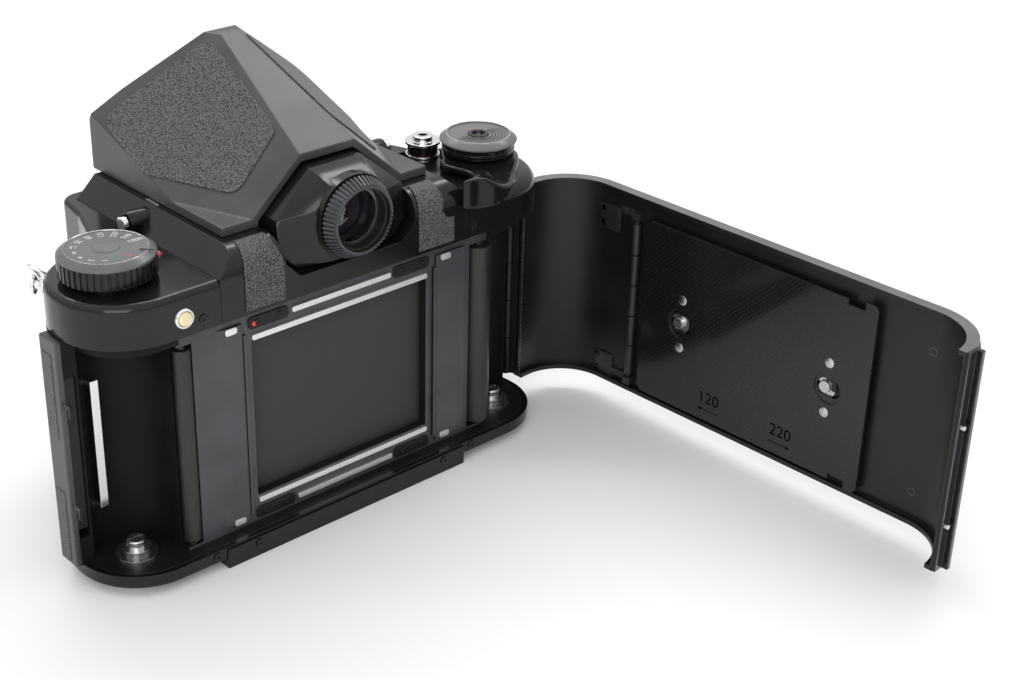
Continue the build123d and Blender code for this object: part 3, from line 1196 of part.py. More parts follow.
# Leather round the door's outside
with BuildPart(door_frame) as door_leather:
    with BuildSketch(door_frame.offset(door_low + 2.0)):
        body_plan(-leather)
        body_plan(0, mode=Mode.SUBTRACT)
        with Locations((0, ledge_y + flange_thick + slip - body_depth)):
            Rectangle(4 * body_half, 2 * body_depth, mode=Mode.SUBTRACT)
    extrude(amount=door_high - door_low - 4.0)
door_leather.part.label = "door_leather"
export_step(door_leather.part, "parts/door_leather.step")

# Segmented roller on the door, beside the pressure plate
door_roller_x = -plate_half - 5.2
door_roller_y = inner_y - door_roller_r - 0.2
segment_gap = 0.5
segment_edges = [gate_z - 30.0 + i * 12.0 for i in range(6)]
with BuildPart(door_frame) as door_roller:
    post(door_roller_x, door_roller_y, gate_z - 33.0, gate_z + 33.0, 0.7)
    for low, high in zip(segment_edges, segment_edges[1:]):
        post(door_roller_x, door_roller_y, low + segment_gap / 2, high - segment_gap / 2,
             door_roller_r)
door_roller.part.label = "door_roller"
export_step(door_roller.part, "parts/door_roller.step")

# Brackets that carry the roller, each with two rivets
with BuildPart(door_frame) as roller_brackets:
    for level in (-1, 1):
        z0, z1 = sorted((gate_z + level * 31.0, gate_z + level * 33.8))
        block(door_roller_x - 1.6, door_roller_x + 1.6, door_roller_y - 1.4, inner_y, z0, z1)
        block(door_roller_x - 9.0, door_roller_x + 1.6, inner_y - 0.6, inner_y, z0, z1)
        for x in (door_roller_x - 4.0, door_roller_x - 7.2):
            rod_y(x, (z0 + z1) / 2, inner_y - 0.8, inner_y - 0.5, 1.1)
    post(door_roller_x, door_roller_y, gate_z - 33.2, gate_z + 33.2, 0.7 + run_gap,
         mode=Mode.SUBTRACT)
roller_brackets.part.label = "roller_brackets"
export_step(roller_brackets.part, "parts/roller_brackets.step")

# Pressure plate: notched and chamfered, with two stepped windows and four rivets
window_r = 5.6
window_deep = 0.5
rivet_r = 1.6
rivet_levels = (-9.0, 9.4)
with BuildPart(door_frame) as pressure_plate:
    with BuildSketch(on_door(Plane.XZ.offset(-plate_gap))):
        outline([(-plate_half, gate_z - plate_tall / 2 + 2.0),
                 (-plate_half + 2.0, gate_z - plate_tall / 2),
                 (plate_half - 11.5, gate_z - plate_tall / 2),
                 (plate_half - 11.5, gate_z - plate_tall / 2 + 2.0),
                 (plate_half - 5.0, gate_z - plate_tall / 2 + 2.0),
                 (plate_half - 5.0, gate_z - plate_tall / 2 - 1.0),
                 (plate_half - 1.5, gate_z - plate_tall / 2 - 1.0),
                 (plate_half, gate_z - plate_tall / 2 + 0.5),
                 (plate_half, gate_z + plate_tall / 2 - 0.5),
                 (plate_half - 1.5, gate_z + plate_tall / 2 + 1.0),
                 (plate_half - 5.0, gate_z + plate_tall / 2 + 1.0),
                 (plate_half - 5.0, gate_z + plate_tall / 2 - 2.0),
                 (plate_half - 11.5, gate_z + plate_tall / 2 - 2.0),
                 (plate_half - 11.5, gate_z + plate_tall / 2),
                 (-plate_half + 2.0, gate_z + plate_tall / 2),
                 (-plate_half, gate_z + plate_tall / 2 - 2.0)])
        for x in (-stud_x, stud_x):
            with Locations((x + plate_shift / 2, stud_z)):
                SlotOverall(6.4 + plate_shift, 6.4, mode=Mode.SUBTRACT)
    extrude(amount=-plate_thick)
    for x in (-stud_x, stud_x):
        rod_y(x + plate_shift / 2, stud_z, plate_gap - 1, plate_gap + window_deep, window_r,
              mode=Mode.SUBTRACT)
        for level in rivet_levels:
            rod_y(x, stud_z + level, plate_gap - 0.2, plate_gap + 0.3, rivet_r)
pressure_plate.part.label = "pressure_plate"
export_step(pressure_plate.part, "parts/pressure_plate.step")

# Steel studs riveted to the door: two that the latch catches and two that carry the plate
with BuildPart(door_frame) as door_studs:
    for level in pin_levels:
        rod_x(pin_y, level, body_half - face_clear, hook_x1, pin_r)
    for x in (-stud_x, stud_x):
        rod_y(x, stud_z, plate_gap + 0.1, inner_y - seat_tall, 2.1)
        rod_y(x, stud_z, plate_gap + plate_thick + 0.1, inner_y - seat_tall, 4.2)
door_studs.part.label = "door_studs"
export_step(door_studs.part, "parts/door_studs.step")
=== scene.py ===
"""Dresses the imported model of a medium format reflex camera: finishes, edges and small detail."""
import json
import math

import bmesh
import bpy
from mathutils import Matrix, Vector


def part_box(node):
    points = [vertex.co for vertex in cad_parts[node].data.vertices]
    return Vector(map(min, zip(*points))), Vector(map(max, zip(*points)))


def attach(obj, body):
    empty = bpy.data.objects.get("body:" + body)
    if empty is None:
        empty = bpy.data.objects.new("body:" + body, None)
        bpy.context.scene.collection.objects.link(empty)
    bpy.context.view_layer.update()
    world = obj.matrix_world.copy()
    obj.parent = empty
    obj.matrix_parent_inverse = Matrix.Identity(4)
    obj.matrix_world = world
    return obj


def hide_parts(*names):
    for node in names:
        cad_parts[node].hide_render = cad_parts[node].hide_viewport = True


bl_info = {
    "name": "Reflex camera dressing",
    "version": (1, 0, 0),
    "blender": (4, 5, 0),
    "location": "3D View > Sidebar > Camera",
    "description": "Builds the finish and the fine detail of a film camera round its packed model",
    "category": "Object",
}

DOOR_OPEN = 92.0           # degrees that the door stands open
DOOR_INSIDE = 3.5          # the shut door's inner face, in millimetres behind the film plane
PLATE_FACE = 0.6           # the pressure plate's face, behind the film plane
STUD_X, PLATE_STUD_Z = 31.4, 43.8    # places of the plate's two studs
STUD_BASE = 1.9            # face of the studs' wide foot, behind the film plane
BACK_FACE = 5.5            # back of the covers
EYE_SEAT = 6.8             # where the eyepiece ring meets its block
SEAL_X, SEAL_Y = -88.0, -10.0        # where the light seal at the hinge stands
PANEL_INNER, PANEL_OUTER = 38, 60    # ends of the guide panels, sideways from the gate's middle
LEVER_LOW = 100.0          # the wind lever's underside
SKIN_SHARE = 0.04          # change of a piece's area at which an opening has been filled by mistake
REMINDER_RISE = 2.2        # how far the film reminder stands above its packed height
VIEW_RIGHT = 136.17        # direction of the photograph's right, in degrees from the camera's X

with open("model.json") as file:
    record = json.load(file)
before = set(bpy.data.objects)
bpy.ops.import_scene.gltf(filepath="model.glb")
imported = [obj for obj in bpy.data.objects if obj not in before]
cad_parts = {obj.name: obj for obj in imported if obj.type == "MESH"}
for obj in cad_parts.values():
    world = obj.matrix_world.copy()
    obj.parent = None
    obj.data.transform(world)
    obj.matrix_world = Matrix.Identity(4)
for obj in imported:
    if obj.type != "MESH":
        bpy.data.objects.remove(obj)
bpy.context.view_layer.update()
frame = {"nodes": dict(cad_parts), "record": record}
cad_nodes = frame["nodes"]
node_body = {n: body for body, names in frame["record"]["behaviour"]["bodies"].items() for n in names}
node_slot = {row["node"]: row["material_slot"] for row in frame["record"]["subparts"]}

MM = 0.001
UP = Vector((0, 0, 1))
WELD_PACKED = 0.000002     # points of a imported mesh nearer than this, in metres, are one
WELD_OUTLINE = 0.000001    # the same for outlines and numerals
WELD_TURNED = 0.0000005    # the same for turned shapes

# Shared small helpers


def mm(*values):
    """Millimetres as a vector in metres."""
    return Vector([value * MM for value in values])


def settings():
    """The finish values that the sidebar shows."""
    return bpy.context.scene.camera_finish


def add_node(tree, kind, values=None, **attributes):
    """A node with its attributes and its sockets' values set."""
    node = tree.nodes.new(kind)
    for name, value in attributes.items():
        setattr(node, name, value)
    for socket, value in (values or {}).items():
        node.inputs[socket].default_value = value
    return node


def link(tree, source, output, target, socket):
    """Joins one node's output to another's input."""
    tree.links.new(source.outputs[output], target.inputs[socket])


def new_material(name, colour, roughness, **sockets):
    """A node material, its tree, its shader with plain values set, and its Object coordinates."""
    material = bpy.data.materials.new(name)
    material.use_nodes = True
    tree = material.node_tree
    tree.nodes.clear()
    output = add_node(tree, "ShaderNodeOutputMaterial")
    shader = add_node(tree, "ShaderNodeBsdfPrincipled")
    shader.inputs["Base Color"].default_value = (*colour, 1)
    shader.inputs["Roughness"].default_value = roughness
    for socket, value in sockets.items():
        shader.inputs[socket.replace("_", " ")].default_value = value
    link(tree, shader, "BSDF", output, "Surface")
    material.diffuse_color = (*colour, 1)
    return material, tree, shader, add_node(tree, "ShaderNodeTexCoord")


def noise(tree, place, scale, detail=2.0):
    """Noise over the piece, its scale counted per metre."""
    node = add_node(tree, "ShaderNodeTexNoise", {"Scale": scale, "Detail": detail})
    link(tree, place, "Object", node, "Vector")
    return node


def spread(tree, source, output, low, high, target, socket):
    """Sends a pattern's value to a socket, stretched between two limits."""
    stretch = add_node(tree, "ShaderNodeMapRange", {"To Min": low, "To Max": high,
                                                    "From Min": 0.3, "From Max": 0.7})
    link(tree, source, output, stretch, "Value")
    link(tree, stretch, "Result", target, socket)


def set_ramp(ramp, *stops):
    """Gives a colour ramp its two places and colours."""
    for element, (position, colour) in zip(ramp.color_ramp.elements, stops):
        element.position = position
        element.color = (*colour, 1)


def shade(colour, share):
    """A darker or paler shade of a colour."""
    return [share * channel for channel in colour]


def tint(tree, source, output, dark, light, shader, low=0.35, high=0.65):
    """Colours a surface between two shades along a pattern."""
    ramp = add_node(tree, "ShaderNodeValToRGB")
    set_ramp(ramp, (low, dark), (high, light))
    link(tree, source, output, ramp, "Fac")
    link(tree, ramp, "Color", shader, "Base Color")


def bump(tree, source, output, depth, strength, shader, rounding=0.0):
    """Raises a pattern on the surface, over edges rounded by a small radius."""
    node = add_node(tree, "ShaderNodeBump", {"Distance": depth, "Strength": strength})
    link(tree, source, output, node, "Height")
    link(tree, node, "Normal", shader, "Normal")
    if rounding > 0:
        edge = add_node(tree, "ShaderNodeBevel", {"Radius": rounding}, samples=4)
        link(tree, edge, "Normal", node, "Normal")


# Finishes


def painted(name, colour, roughness, grain=9000.0, depth=0.00001, swing=0.05, rounding=0.0003,
            **sockets):
    """Sprayed paint: a faint cloud in its gloss and a fine grain."""
    material, tree, shader, place = new_material(name, colour, roughness, **sockets)
    cloud = noise(tree, place, 60.0)
    spread(tree, cloud, "Fac", roughness - swing, roughness + swing, shader, "Roughness")
    tint(tree, cloud, "Fac", shade(colour, 0.85), shade(colour, 1.2), shader)
    fine = noise(tree, place, grain, 1.0)
    bump(tree, fine, "Fac", depth, 0.35, shader, rounding)
    return material


def metal(name, colour, roughness, swing=0.05):
    """Plated or bare metal with soft polishing marks."""
    material, tree, shader, place = new_material(name, colour, roughness, Metallic=1.0)
    rub = noise(tree, place, 2200.0, 2.0)
    spread(tree, rub, "Fac", max(roughness - swing, 0.02), roughness + swing, shader, "Roughness")
    tint(tree, rub, "Fac", shade(colour, 0.88), colour, shader)
    bump(tree, rub, "Fac", 0.000001, 0.2, shader, 0.0002)
    return material


def leatherette(name, colour, pebble, depth):
    """Pebbled leathercloth: rounded grains of uneven size, with painted shade darkening the creases
    between them.
    """
    material, tree, shader, place = new_material(name, colour, 0.42)
    sway = noise(tree, place, 350.0, 2.0)
    bend = add_node(tree, "ShaderNodeVectorMath", operation="MULTIPLY_ADD")
    bend.inputs[1].default_value = [pebble * 0.9] * 3
    link(tree, sway, "Color", bend, 0)
    link(tree, place, "Object", bend, 2)
    grain = add_node(tree, "ShaderNodeTexVoronoi", {"Scale": 1.0 / pebble, "Smoothness": 0.35},
                     feature="SMOOTH_F1")
    link(tree, bend, "Vector", grain, "Vector")
    top = add_node(tree, "ShaderNodeMapRange", {"From Min": 0.1, "From Max": 0.75,
                                                "To Min": 1.0, "To Max": 0.0})
    link(tree, grain, "Distance", top, "Value")
    # Painted shade: the colour falls to 0.15 of the leather's own in the creases and is full on the
    # grains' tops
    tint(tree, top, "Result", shade(colour, 0.15), colour, shader, 0.1, 0.75)
    bump(tree, top, "Result", depth, 0.9, shader)
    return material


def woven(name, colour, pitch):
    """Rubberised cloth: two crossed sets of fine threads with a little fluff."""
    material, tree, shader, place = new_material(name, colour, 0.7)
    threads = []
    for direction in ("X", "Z"):
        wave = add_node(tree, "ShaderNodeTexWave", {"Scale": math.pi / 10 / pitch, "Distortion": 1.2,
                                                    "Detail": 1.0, "Detail Scale": 2.0},
                        bands_direction=direction)
        link(tree, place, "Object", wave, "Vector")
        threads.append(wave)
    cross = add_node(tree, "ShaderNodeMath", operation="MULTIPLY")
    link(tree, threads[0], "Fac", cross, 0)
    link(tree, threads[1], "Fac", cross, 1)
    fluff = noise(tree, place, 1.4 / pitch, 2.0)
    mixed = add_node(tree, "ShaderNodeMath", operation="ADD")
    link(tree, cross, "Value", mixed, 0)
    link(tree, fluff, "Fac", mixed, 1)
    tint(tree, mixed, "Value", shade(colour, 0.5), shade(colour, 1.7), shader, 0.45, 1.15)
    bump(tree, mixed, "Value", 0.0001, 0.6, shader)
    return material


def dotted(name, colour, roughness, pitch):
    """Polished dark plate of the open door, stippled with regular rows of fine dimples whose middles
    carry a painted highlight.
    """
    material, tree, shader, place = new_material(name, colour, roughness)
    along = add_node(tree, "ShaderNodeVectorRotate", {"Angle": -math.radians(DOOR_OPEN)},
                     rotation_type="Z_AXIS")
    flat = add_node(tree, "ShaderNodeVectorMath", {1: (1, 0, 1)}, operation="MULTIPLY")
    slanted = add_node(tree, "ShaderNodeVectorRotate", {"Angle": math.pi / 4}, rotation_type="Y_AXIS")
    dimple = add_node(tree, "ShaderNodeTexVoronoi", {"Scale": 1.0 / pitch, "Randomness": 0.0},
                      feature="F1")
    link(tree, place, "Object", along, "Vector")
    link(tree, along, "Vector", flat, 0)
    link(tree, flat, "Vector", slanted, "Vector")
    link(tree, slanted, "Vector", dimple, "Vector")
    bowl = add_node(tree, "ShaderNodeMapRange", {"From Min": 0.08, "From Max": 0.17})
    link(tree, dimple, "Distance", bowl, "Value")
    bump(tree, bowl, "Result", 0.00004, 0.3, shader)
    # Painted highlight: the dimples' middles are coloured three times paler than the plate
    tint(tree, bowl, "Result", shade(colour, 3), colour, shader, 0.1, 0.9)
    cloud = noise(tree, place, 40.0)
    spread(tree, cloud, "Fac", roughness - 0.04, roughness + 0.06, shader, "Roughness")
    return material


def clear(name, colour, roughness, transmission):
    """Glass that lets the parts behind it show."""
    material, tree, shader, place = new_material(name, colour, roughness, IOR=1.5,
                                                 Transmission_Weight=transmission)
    haze = noise(tree, place, 50.0)
    spread(tree, haze, "Fac", roughness, roughness + 0.02, shader, "Roughness")
    return material


def make_finishes():
    """Every finish of the camera, by a plain name."""
    look = settings()
    enamel, housing, cast, hide, cloth = (
        tuple(colour) for colour in (look.enamel_colour, look.housing_colour, look.cast_colour,
                                     look.leather_colour, look.cloth_colour))
    return {
        "enamel": painted("black_enamel", enamel, look.enamel_roughness, swing=0.02, IOR=1.42,
                          depth=0.000003),
        "housing": painted("charcoal_enamel", housing, 0.34, grain=14000.0, depth=0.000012),
        "cast": painted("matt_black_casting", cast, 0.42, grain=7000.0, depth=0.00002, swing=0.08,
                        Specular_IOR_Level=0.3),
        # Guide grey: partly the panels' own satin, partly painted reflection that lightens the faces
        # towards the view
        "panel": painted("satin_grey_guide", (0.046, 0.048, 0.053), 0.33, grain=5000.0,
                         depth=0.00001, swing=0.07),
        "chamber": painted("dull_black_wall", cast, 0.5, grain=6000.0, depth=0.00002, swing=0.06,
                           Specular_IOR_Level=0.12),
        "door": painted("door_inside", (0.007, 0.007, 0.0075), 0.36, grain=5000.0, depth=0.00002,
                        Specular_IOR_Level=0.4),
        "door_rim": painted("door_edge_grey", (0.11, 0.113, 0.118), 0.34, grain=8000.0),
        # Dial grey: partly the dials' own satin, partly painted reflection that lightens their tops
        "satin": painted("satin_dial", (0.115, 0.118, 0.124), 0.3, grain=8000.0),
        "polished": painted("polished_black", (0.02, 0.021, 0.024), 0.1, grain=3000.0,
                            depth=0.000004, swing=0.03, Specular_IOR_Level=1.0),
        # Painted shade: a flat black without gloss that stands for the shade in hollows
        "painted_shade": painted("dark_hollow", (0.001, 0.001, 0.001), 0.8, Specular_IOR_Level=0.0),
        "ribs": painted("rib_crests", (0.05, 0.053, 0.06), 0.3),
        "plate": dotted("stippled_plate", (0.008, 0.008, 0.009), 0.11, 0.00135),
        "plastic": painted("black_plastic", (0.014, 0.014, 0.015), 0.42, grain=5000.0),
        "chrome": metal("bright_chrome", (0.86, 0.87, 0.88), 0.13),
        "bright_satin": metal("satin_chrome", (0.93, 0.93, 0.94), 0.45),
        "steel": metal("bare_steel", (0.62, 0.63, 0.64), 0.27),
        "dark_steel": metal("blued_steel", (0.05, 0.05, 0.055), 0.3),
        "brass": metal("turned_brass", (0.62, 0.5, 0.26), 0.3),
        "silvered": metal("silvered_mirror", (0.86, 0.87, 0.9), 0.03, 0.01),
        "leather": leatherette("pebbled_leather", hide, 0.00052, 0.00022),
        "cloth": woven("shutter_cloth", cloth, 0.00042),
        "lens": painted("dark_eye_glass", (0.012, 0.010, 0.015), 0.04, grain=300.0, depth=0.000001,
                        swing=0.01, rounding=0.0, Specular_IOR_Level=1.0, Coat_Weight=0.5),
        "ground": clear("ground_glass", (0.8, 0.82, 0.8), 0.4, 0.6),
        "red": painted("red_lamp", (0.55, 0.02, 0.015), 0.2, Coat_Weight=0.6),
        "cream": painted("cream_button", (0.72, 0.63, 0.36), 0.3, Coat_Weight=0.3),
        "white": painted("white_fill", (0.78, 0.78, 0.76), 0.5),
        "orange": painted("orange_fill", (0.8, 0.12, 0.02), 0.5),
        "red_mark": painted("red_mark", (0.8, 0.05, 0.02), 0.4),
        "green": painted("green_fill", (0.05, 0.35, 0.16), 0.5),
    }


finishes = {}

# Meshes and pieces


def object_from(name, mesh):
    """A mesh as an object of the scene, at the origin."""
    thing = bpy.data.objects.new(name, mesh)
    bpy.context.scene.collection.objects.link(thing)
    return thing


def plain_mesh(thing):
    """The plain mesh of an object with live modifiers, a curve or a text. The object is removed."""
    depsgraph = bpy.context.evaluated_depsgraph_get()
    mesh = bpy.data.meshes.new_from_object(thing.evaluated_get(depsgraph))
    bpy.data.objects.remove(thing)
    return mesh


def baked(thing, name):
    """A plain mesh object in the place of one whose modifiers are live."""
    mesh = plain_mesh(thing)
    mesh.name = name
    return object_from(name, mesh)


def shape_of(*meshes):
    """Meshes as one shape to edit."""
    shape = bmesh.new()
    for mesh in meshes:
        shape.from_mesh(mesh)
    return shape


def mesh_from(name, shape):
    """A mesh from a shape being edited, which is freed."""
    mesh = bpy.data.meshes.new(name)
    shape.to_mesh(mesh)
    shape.free()
    return mesh


def paint(thing, finish):
    """Gives a piece one finish."""
    thing.data.materials.clear()
    thing.data.materials.append(finishes[finish])
    return thing


def settle(thing, body, slot, *stands_for):
    """Fixes a finished piece to its body and hides the nodes that it stands for. The slot is not used."""
    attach(thing, body)
    if stands_for:
        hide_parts(*stands_for)
    return thing


def smoothed(thing, angle=38.0):
    """Shades a piece smooth except across its sharp edges."""
    thing.data.shade_smooth()
    thing.data.set_sharp_from_angle(angle=math.radians(angle))
    return thing


def skin(mesh):
    """The area of a mesh, counted over its triangles."""
    return sum(face.area for face in mesh.loop_triangles)


def merged_copy(node, flattened):
    """A CAD node's mesh as joined faces, its flat stretches in one piece if asked."""
    shape = shape_of(cad_nodes[node].data)
    bmesh.ops.remove_doubles(shape, verts=shape.verts, dist=WELD_PACKED)
    bmesh.ops.dissolve_degenerate(shape, edges=shape.edges, dist=WELD_PACKED)
    if flattened:
        bmesh.ops.dissolve_limit(shape, angle_limit=math.radians(0.6), verts=shape.verts,
                                 edges=shape.edges, delimit={"NORMAL"})
    return mesh_from(node, shape)


def edge_rounded(thing, width):
    """Bevels a piece's sharp edges and keeps its flats flat."""
    bevel = thing.modifiers.new("edges", "BEVEL")
    bevel.width = width * MM
    bevel.segments = 3
    bevel.limit_method = "ANGLE"
    bevel.angle_limit = math.radians(32.0)
    bevel.miter_outer = "MITER_ARC"
    weight = thing.modifiers.new("flats", "WEIGHTED_NORMAL")
    weight.keep_sharp = True


def dressed(node, finish, width):
    """A CAD node's finished copy with real rounded edges, in its place."""
    name = node + "_piece"
    packed = skin(cad_nodes[node].data)
    for flattened in (True, False):
        thing = smoothed(object_from(name + "_raw", merged_copy(node, flattened)))
        edge_rounded(thing, width)
        piece = baked(thing, name)
        if not flattened or abs(skin(piece.data) - packed) < SKIN_SHARE * packed:
            break
        bpy.data.objects.remove(piece)
    return settle(paint(piece, finish), node_body[node], node_slot[node], node)


def islands(node):
    """The low and high corners of each separate solid of a node, in metres."""
    shape = shape_of(cad_nodes[node].data)
    bmesh.ops.remove_doubles(shape, verts=shape.verts, dist=WELD_PACKED)
    left = set(shape.verts)
    corners = []
    while left:
        group = {left.pop()}
        edge = list(group)
        while edge:
            vert = edge.pop()
            for other in (e.other_vert(vert) for e in vert.link_edges):
                if other in left:
                    left.discard(other)
                    group.add(other)
                    edge.append(other)
        corners.append([Vector([end(v.co[i] for v in group) for i in range(3)]) for end in (min, max)])
    shape.free()
    return sorted(corners, key=lambda pair: tuple(round(c, 5) for c in pair[0]))


def bridge(shape, near, far):
    """Faces between two closed rings of as many points."""
    for i, point in enumerate(near):
        j = (i + 1) % len(near)
        shape.faces.new((point, far[i], far[j], near[j]))


def lathe(name, profile, steps=96):
    """A closed ring or disc turned about Z from points of radius and height in millimetres."""
    shape = bmesh.new()
    rings = []
    for step in range(steps):
        turn = 2 * math.pi * step / steps
        rings.append([shape.verts.new(mm(r * math.cos(turn), r * math.sin(turn), z))
                      for r, z in profile])
    for step in range(steps):
        bridge(shape, rings[step], rings[(step + 1) % steps])
    bmesh.ops.remove_doubles(shape, verts=shape.verts, dist=WELD_TURNED)
    bmesh.ops.dissolve_degenerate(shape, edges=shape.edges, dist=WELD_TURNED)
    bmesh.ops.recalc_face_normals(shape, faces=shape.faces)
    return mesh_from(name, shape)


def lofted(name, sections, triangles=True):
    """A closed solid through sections of the same number of points in millimetres."""
    shape = bmesh.new()
    rings = [[shape.verts.new(mm(*point)) for point in section] for section in sections]
    for near, far in zip(rings, rings[1:]):
        bridge(shape, near, far)
    shape.faces.new(rings[0])
    shape.faces.new(rings[-1])
    if triangles:
        bmesh.ops.triangulate(shape, faces=shape.faces)
    bmesh.ops.recalc_face_normals(shape, faces=shape.faces)
    return mesh_from(name, shape)


def put(mesh, place):
    """Moves a mesh's points to their place."""
    mesh.transform(place)
    return mesh


def mesh_of(data):
    """The plain mesh of a curve or a text."""
    thing = object_from("outline", data)
    bpy.context.view_layer.update()
    shape = shape_of(plain_mesh(thing))
    bmesh.ops.remove_doubles(shape, verts=shape.verts, dist=WELD_OUTLINE)
    bmesh.ops.recalc_face_normals(shape, faces=shape.faces)
    return mesh_from("outline", shape)


def circle_loop(radius, steps=32):
    """A circle's points in millimetres."""
    turns = [2 * math.pi * i / steps for i in range(steps)]
    return [(radius * math.cos(turn), radius * math.sin(turn)) for turn in turns]


def arc_loop(inner, outer, start, end, steps=40):
    """The outline of a flat arc between two radii and two angles in degrees."""
    turns = [math.radians(start + (end - start) * i / steps) for i in range(steps + 1)]
    near, far = ([(r * math.cos(turn), r * math.sin(turn)) for turn in turns] for r in (inner, outer))
    return near + far[::-1]


def box_loop(x0, x1, y0, y1, radius=0.0, steps=5):
    """A rectangle's points, with rounded corners if a radius is given."""
    if radius == 0:
        return [(x0, y0), (x1, y0), (x1, y1), (x0, y1)]
    points = []
    for quarter, (x, y) in enumerate(((x1 - radius, y1 - radius), (x0 + radius, y1 - radius),
                                      (x0 + radius, y0 + radius), (x1 - radius, y0 + radius))):
        for i in range(steps + 1):
            turn = math.pi / 2 * (quarter + i / steps)
            points.append((x + radius * math.cos(turn), y + radius * math.sin(turn)))
    return points


def plate(loops, tall, edge=0.0):
    """A flat plate from outlines in millimetres, inner ones as holes, on the plane z = 0."""
    curve = bpy.data.curves.new("plate", "CURVE")
    curve.dimensions = "2D"
    curve.fill_mode = "BOTH"
    curve.extrude = (tall / 2 - edge) * MM
    curve.bevel_depth = edge * MM
    curve.bevel_resolution = 1
    curve.offset = -edge * MM
    for loop in loops:
        line = curve.splines.new("POLY")
        line.points.add(len(loop) - 1)
        line.use_cyclic_u = True
        for point, (x, y) in zip(line.points, loop):
            point.co = (x * MM, y * MM, 0, 1)
    return put(mesh_of(curve), Matrix.Translation((0, 0, tall / 2 * MM)))


def wire(points, radius):
    """A round wire through points in millimetres."""
    curve = bpy.data.curves.new("wire", "CURVE")
    curve.dimensions = "3D"
    curve.bevel_depth = radius * MM
    curve.bevel_resolution = 3
    curve.use_fill_caps = True
    line = curve.splines.new("POLY")
    line.points.add(len(points) - 1)
    for point, spot in zip(line.points, points):
        point.co = (*mm(*spot), 1)
    return mesh_of(curve)


def facing(at, right, up):
    """A place at a point in millimetres: X runs right and Y up, as seen from outside."""
    right, up = Vector(right), Vector(up)
    out = right.cross(up).normalized()
    side = up.cross(out).normalized()
    turn = Matrix((side, up.normalized(), out)).transposed().to_4x4()
    return Matrix.Translation(mm(*at)) @ turn


def facing_back(x, y, z):
    """A place that faces the photographer."""
    return facing((x, y, z), (-1, 0, 0), (0, 0, 1))


def facing_up(x, y, z):
    """A place that faces up, with its X along the camera's X."""
    return facing((x, y, z), (1, 0, 0), (0, 1, 0))


def detail(name, mesh, place, finish, body, slot):
    """A small finished piece that rides one body."""
    settle(paint(smoothed(object_from(name, put(mesh, place))), finish), body, slot)


def seated(thing, place, node, slot):
    """Puts a turned piece in the place of the node and body of the same name."""
    put(smoothed(thing, 30).data, place)
    settle(thing, node, slot, node)


def repaint(thing, finish, chosen, place=None):
    """Gives a second finish to the faces whose middle (millimetres) and normal are chosen."""
    thing.data.materials.append(finishes[finish])
    number = len(thing.data.materials) - 1
    back = place.inverted() if place else Matrix()
    for face in thing.data.polygons:
        if chosen(back @ face.center / MM, back.to_3x3() @ face.normal):
            face.material_index = number
    return thing


def span(node):
    """A CAD node's low and high corners in millimetres."""
    low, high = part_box(node)
    return Vector(low) / MM, Vector(high) / MM


def middle(node):
    """The middle of a CAD node in millimetres."""
    low, high = span(node)
    return (low + high) / 2


def door_place():
    """From the shut door's place, where its pieces are measured, to the open door's."""
    pin = middle("hinge_pin") * MM
    return (Matrix.Translation(pin) @ Matrix.Rotation(math.radians(DOOR_OPEN), 4, "Z")
            @ Matrix.Translation(-pin))


def joined(name, meshes):
    """Several meshes as one."""
    return mesh_from(name, shape_of(*meshes))


def lettering(text, height, thick=0.05):
    """Plain numerals as a thin mesh, centred, facing +Z and reading along +X."""
    curve = bpy.data.curves.new("numerals", "FONT")
    curve.body = text
    curve.size = height * MM * 1.35
    curve.extrude = thick * MM / 2
    curve.align_x = "CENTER"
    curve.align_y = "CENTER"
    curve.resolution_u = 3
    return mesh_of(curve)


# Geometry Nodes for what repeats


def node_group(name, sockets, nodes, links):
    """A Geometry Nodes group from its outer sockets, its inner nodes and what joins them."""
    group = bpy.data.node_groups.new(name, "GeometryNodeTree")
    for label, kind in sockets:
        way = "OUTPUT" if (label, kind) == sockets[-1] else "INPUT"
        group.interface.new_socket(label, in_out=way, socket_type="NodeSocket" + kind)
    made = {"inside": add_node(group, "NodeGroupInput"), "outside": add_node(group, "NodeGroupOutput")}
    for key, kind, *rest in nodes:
        made[key] = add_node(group, kind, **(rest[0] if rest else {}))
    for source, output, target, socket in links:
        link(group, made[source], output, made[target], socket)
    return group


def repeat_tree():
    """Copies of one small shape at a mesh's points, each turned by its own random step."""
    return node_group(
        "repeat_shape",
        (("Points", "Geometry"), ("Shape", "Object"), ("Size", "Float"), ("Turn", "Rotation"),
         ("Wobble", "Float"), ("Seed", "Int"), ("Finish", "Material"), ("Copies", "Geometry")),
        (("shape", "GeometryNodeObjectInfo"), ("copies", "GeometryNodeInstanceOnPoints"),
         ("chance", "FunctionNodeRandomValue", {"data_type": "FLOAT"}),
         ("spin", "FunctionNodeAxisAngleToRotation"),
         ("both", "FunctionNodeRotateRotation", {"rotation_space": "LOCAL"}),
         ("plain", "GeometryNodeRealizeInstances"), ("finish", "GeometryNodeSetMaterial")),
        (("inside", "Points", "copies", "Points"), ("inside", "Shape", "shape", "Object"),
         ("shape", "Geometry", "copies", "Instance"), ("inside", "Wobble", "chance", 3),
         ("inside", "Seed", "chance", "Seed"), ("chance", 1, "spin", "Angle"),
         ("inside", "Turn", "both", "Rotation"), ("spin", "Rotation", "both", "Rotate By"),
         ("both", "Rotation", "copies", "Rotation"), ("inside", "Size", "copies", "Scale"),
         ("copies", "Instances", "plain", "Geometry"), ("plain", "Geometry", "finish", "Geometry"),
         ("inside", "Finish", "finish", "Material"), ("finish", "Geometry", "outside", "Copies")))


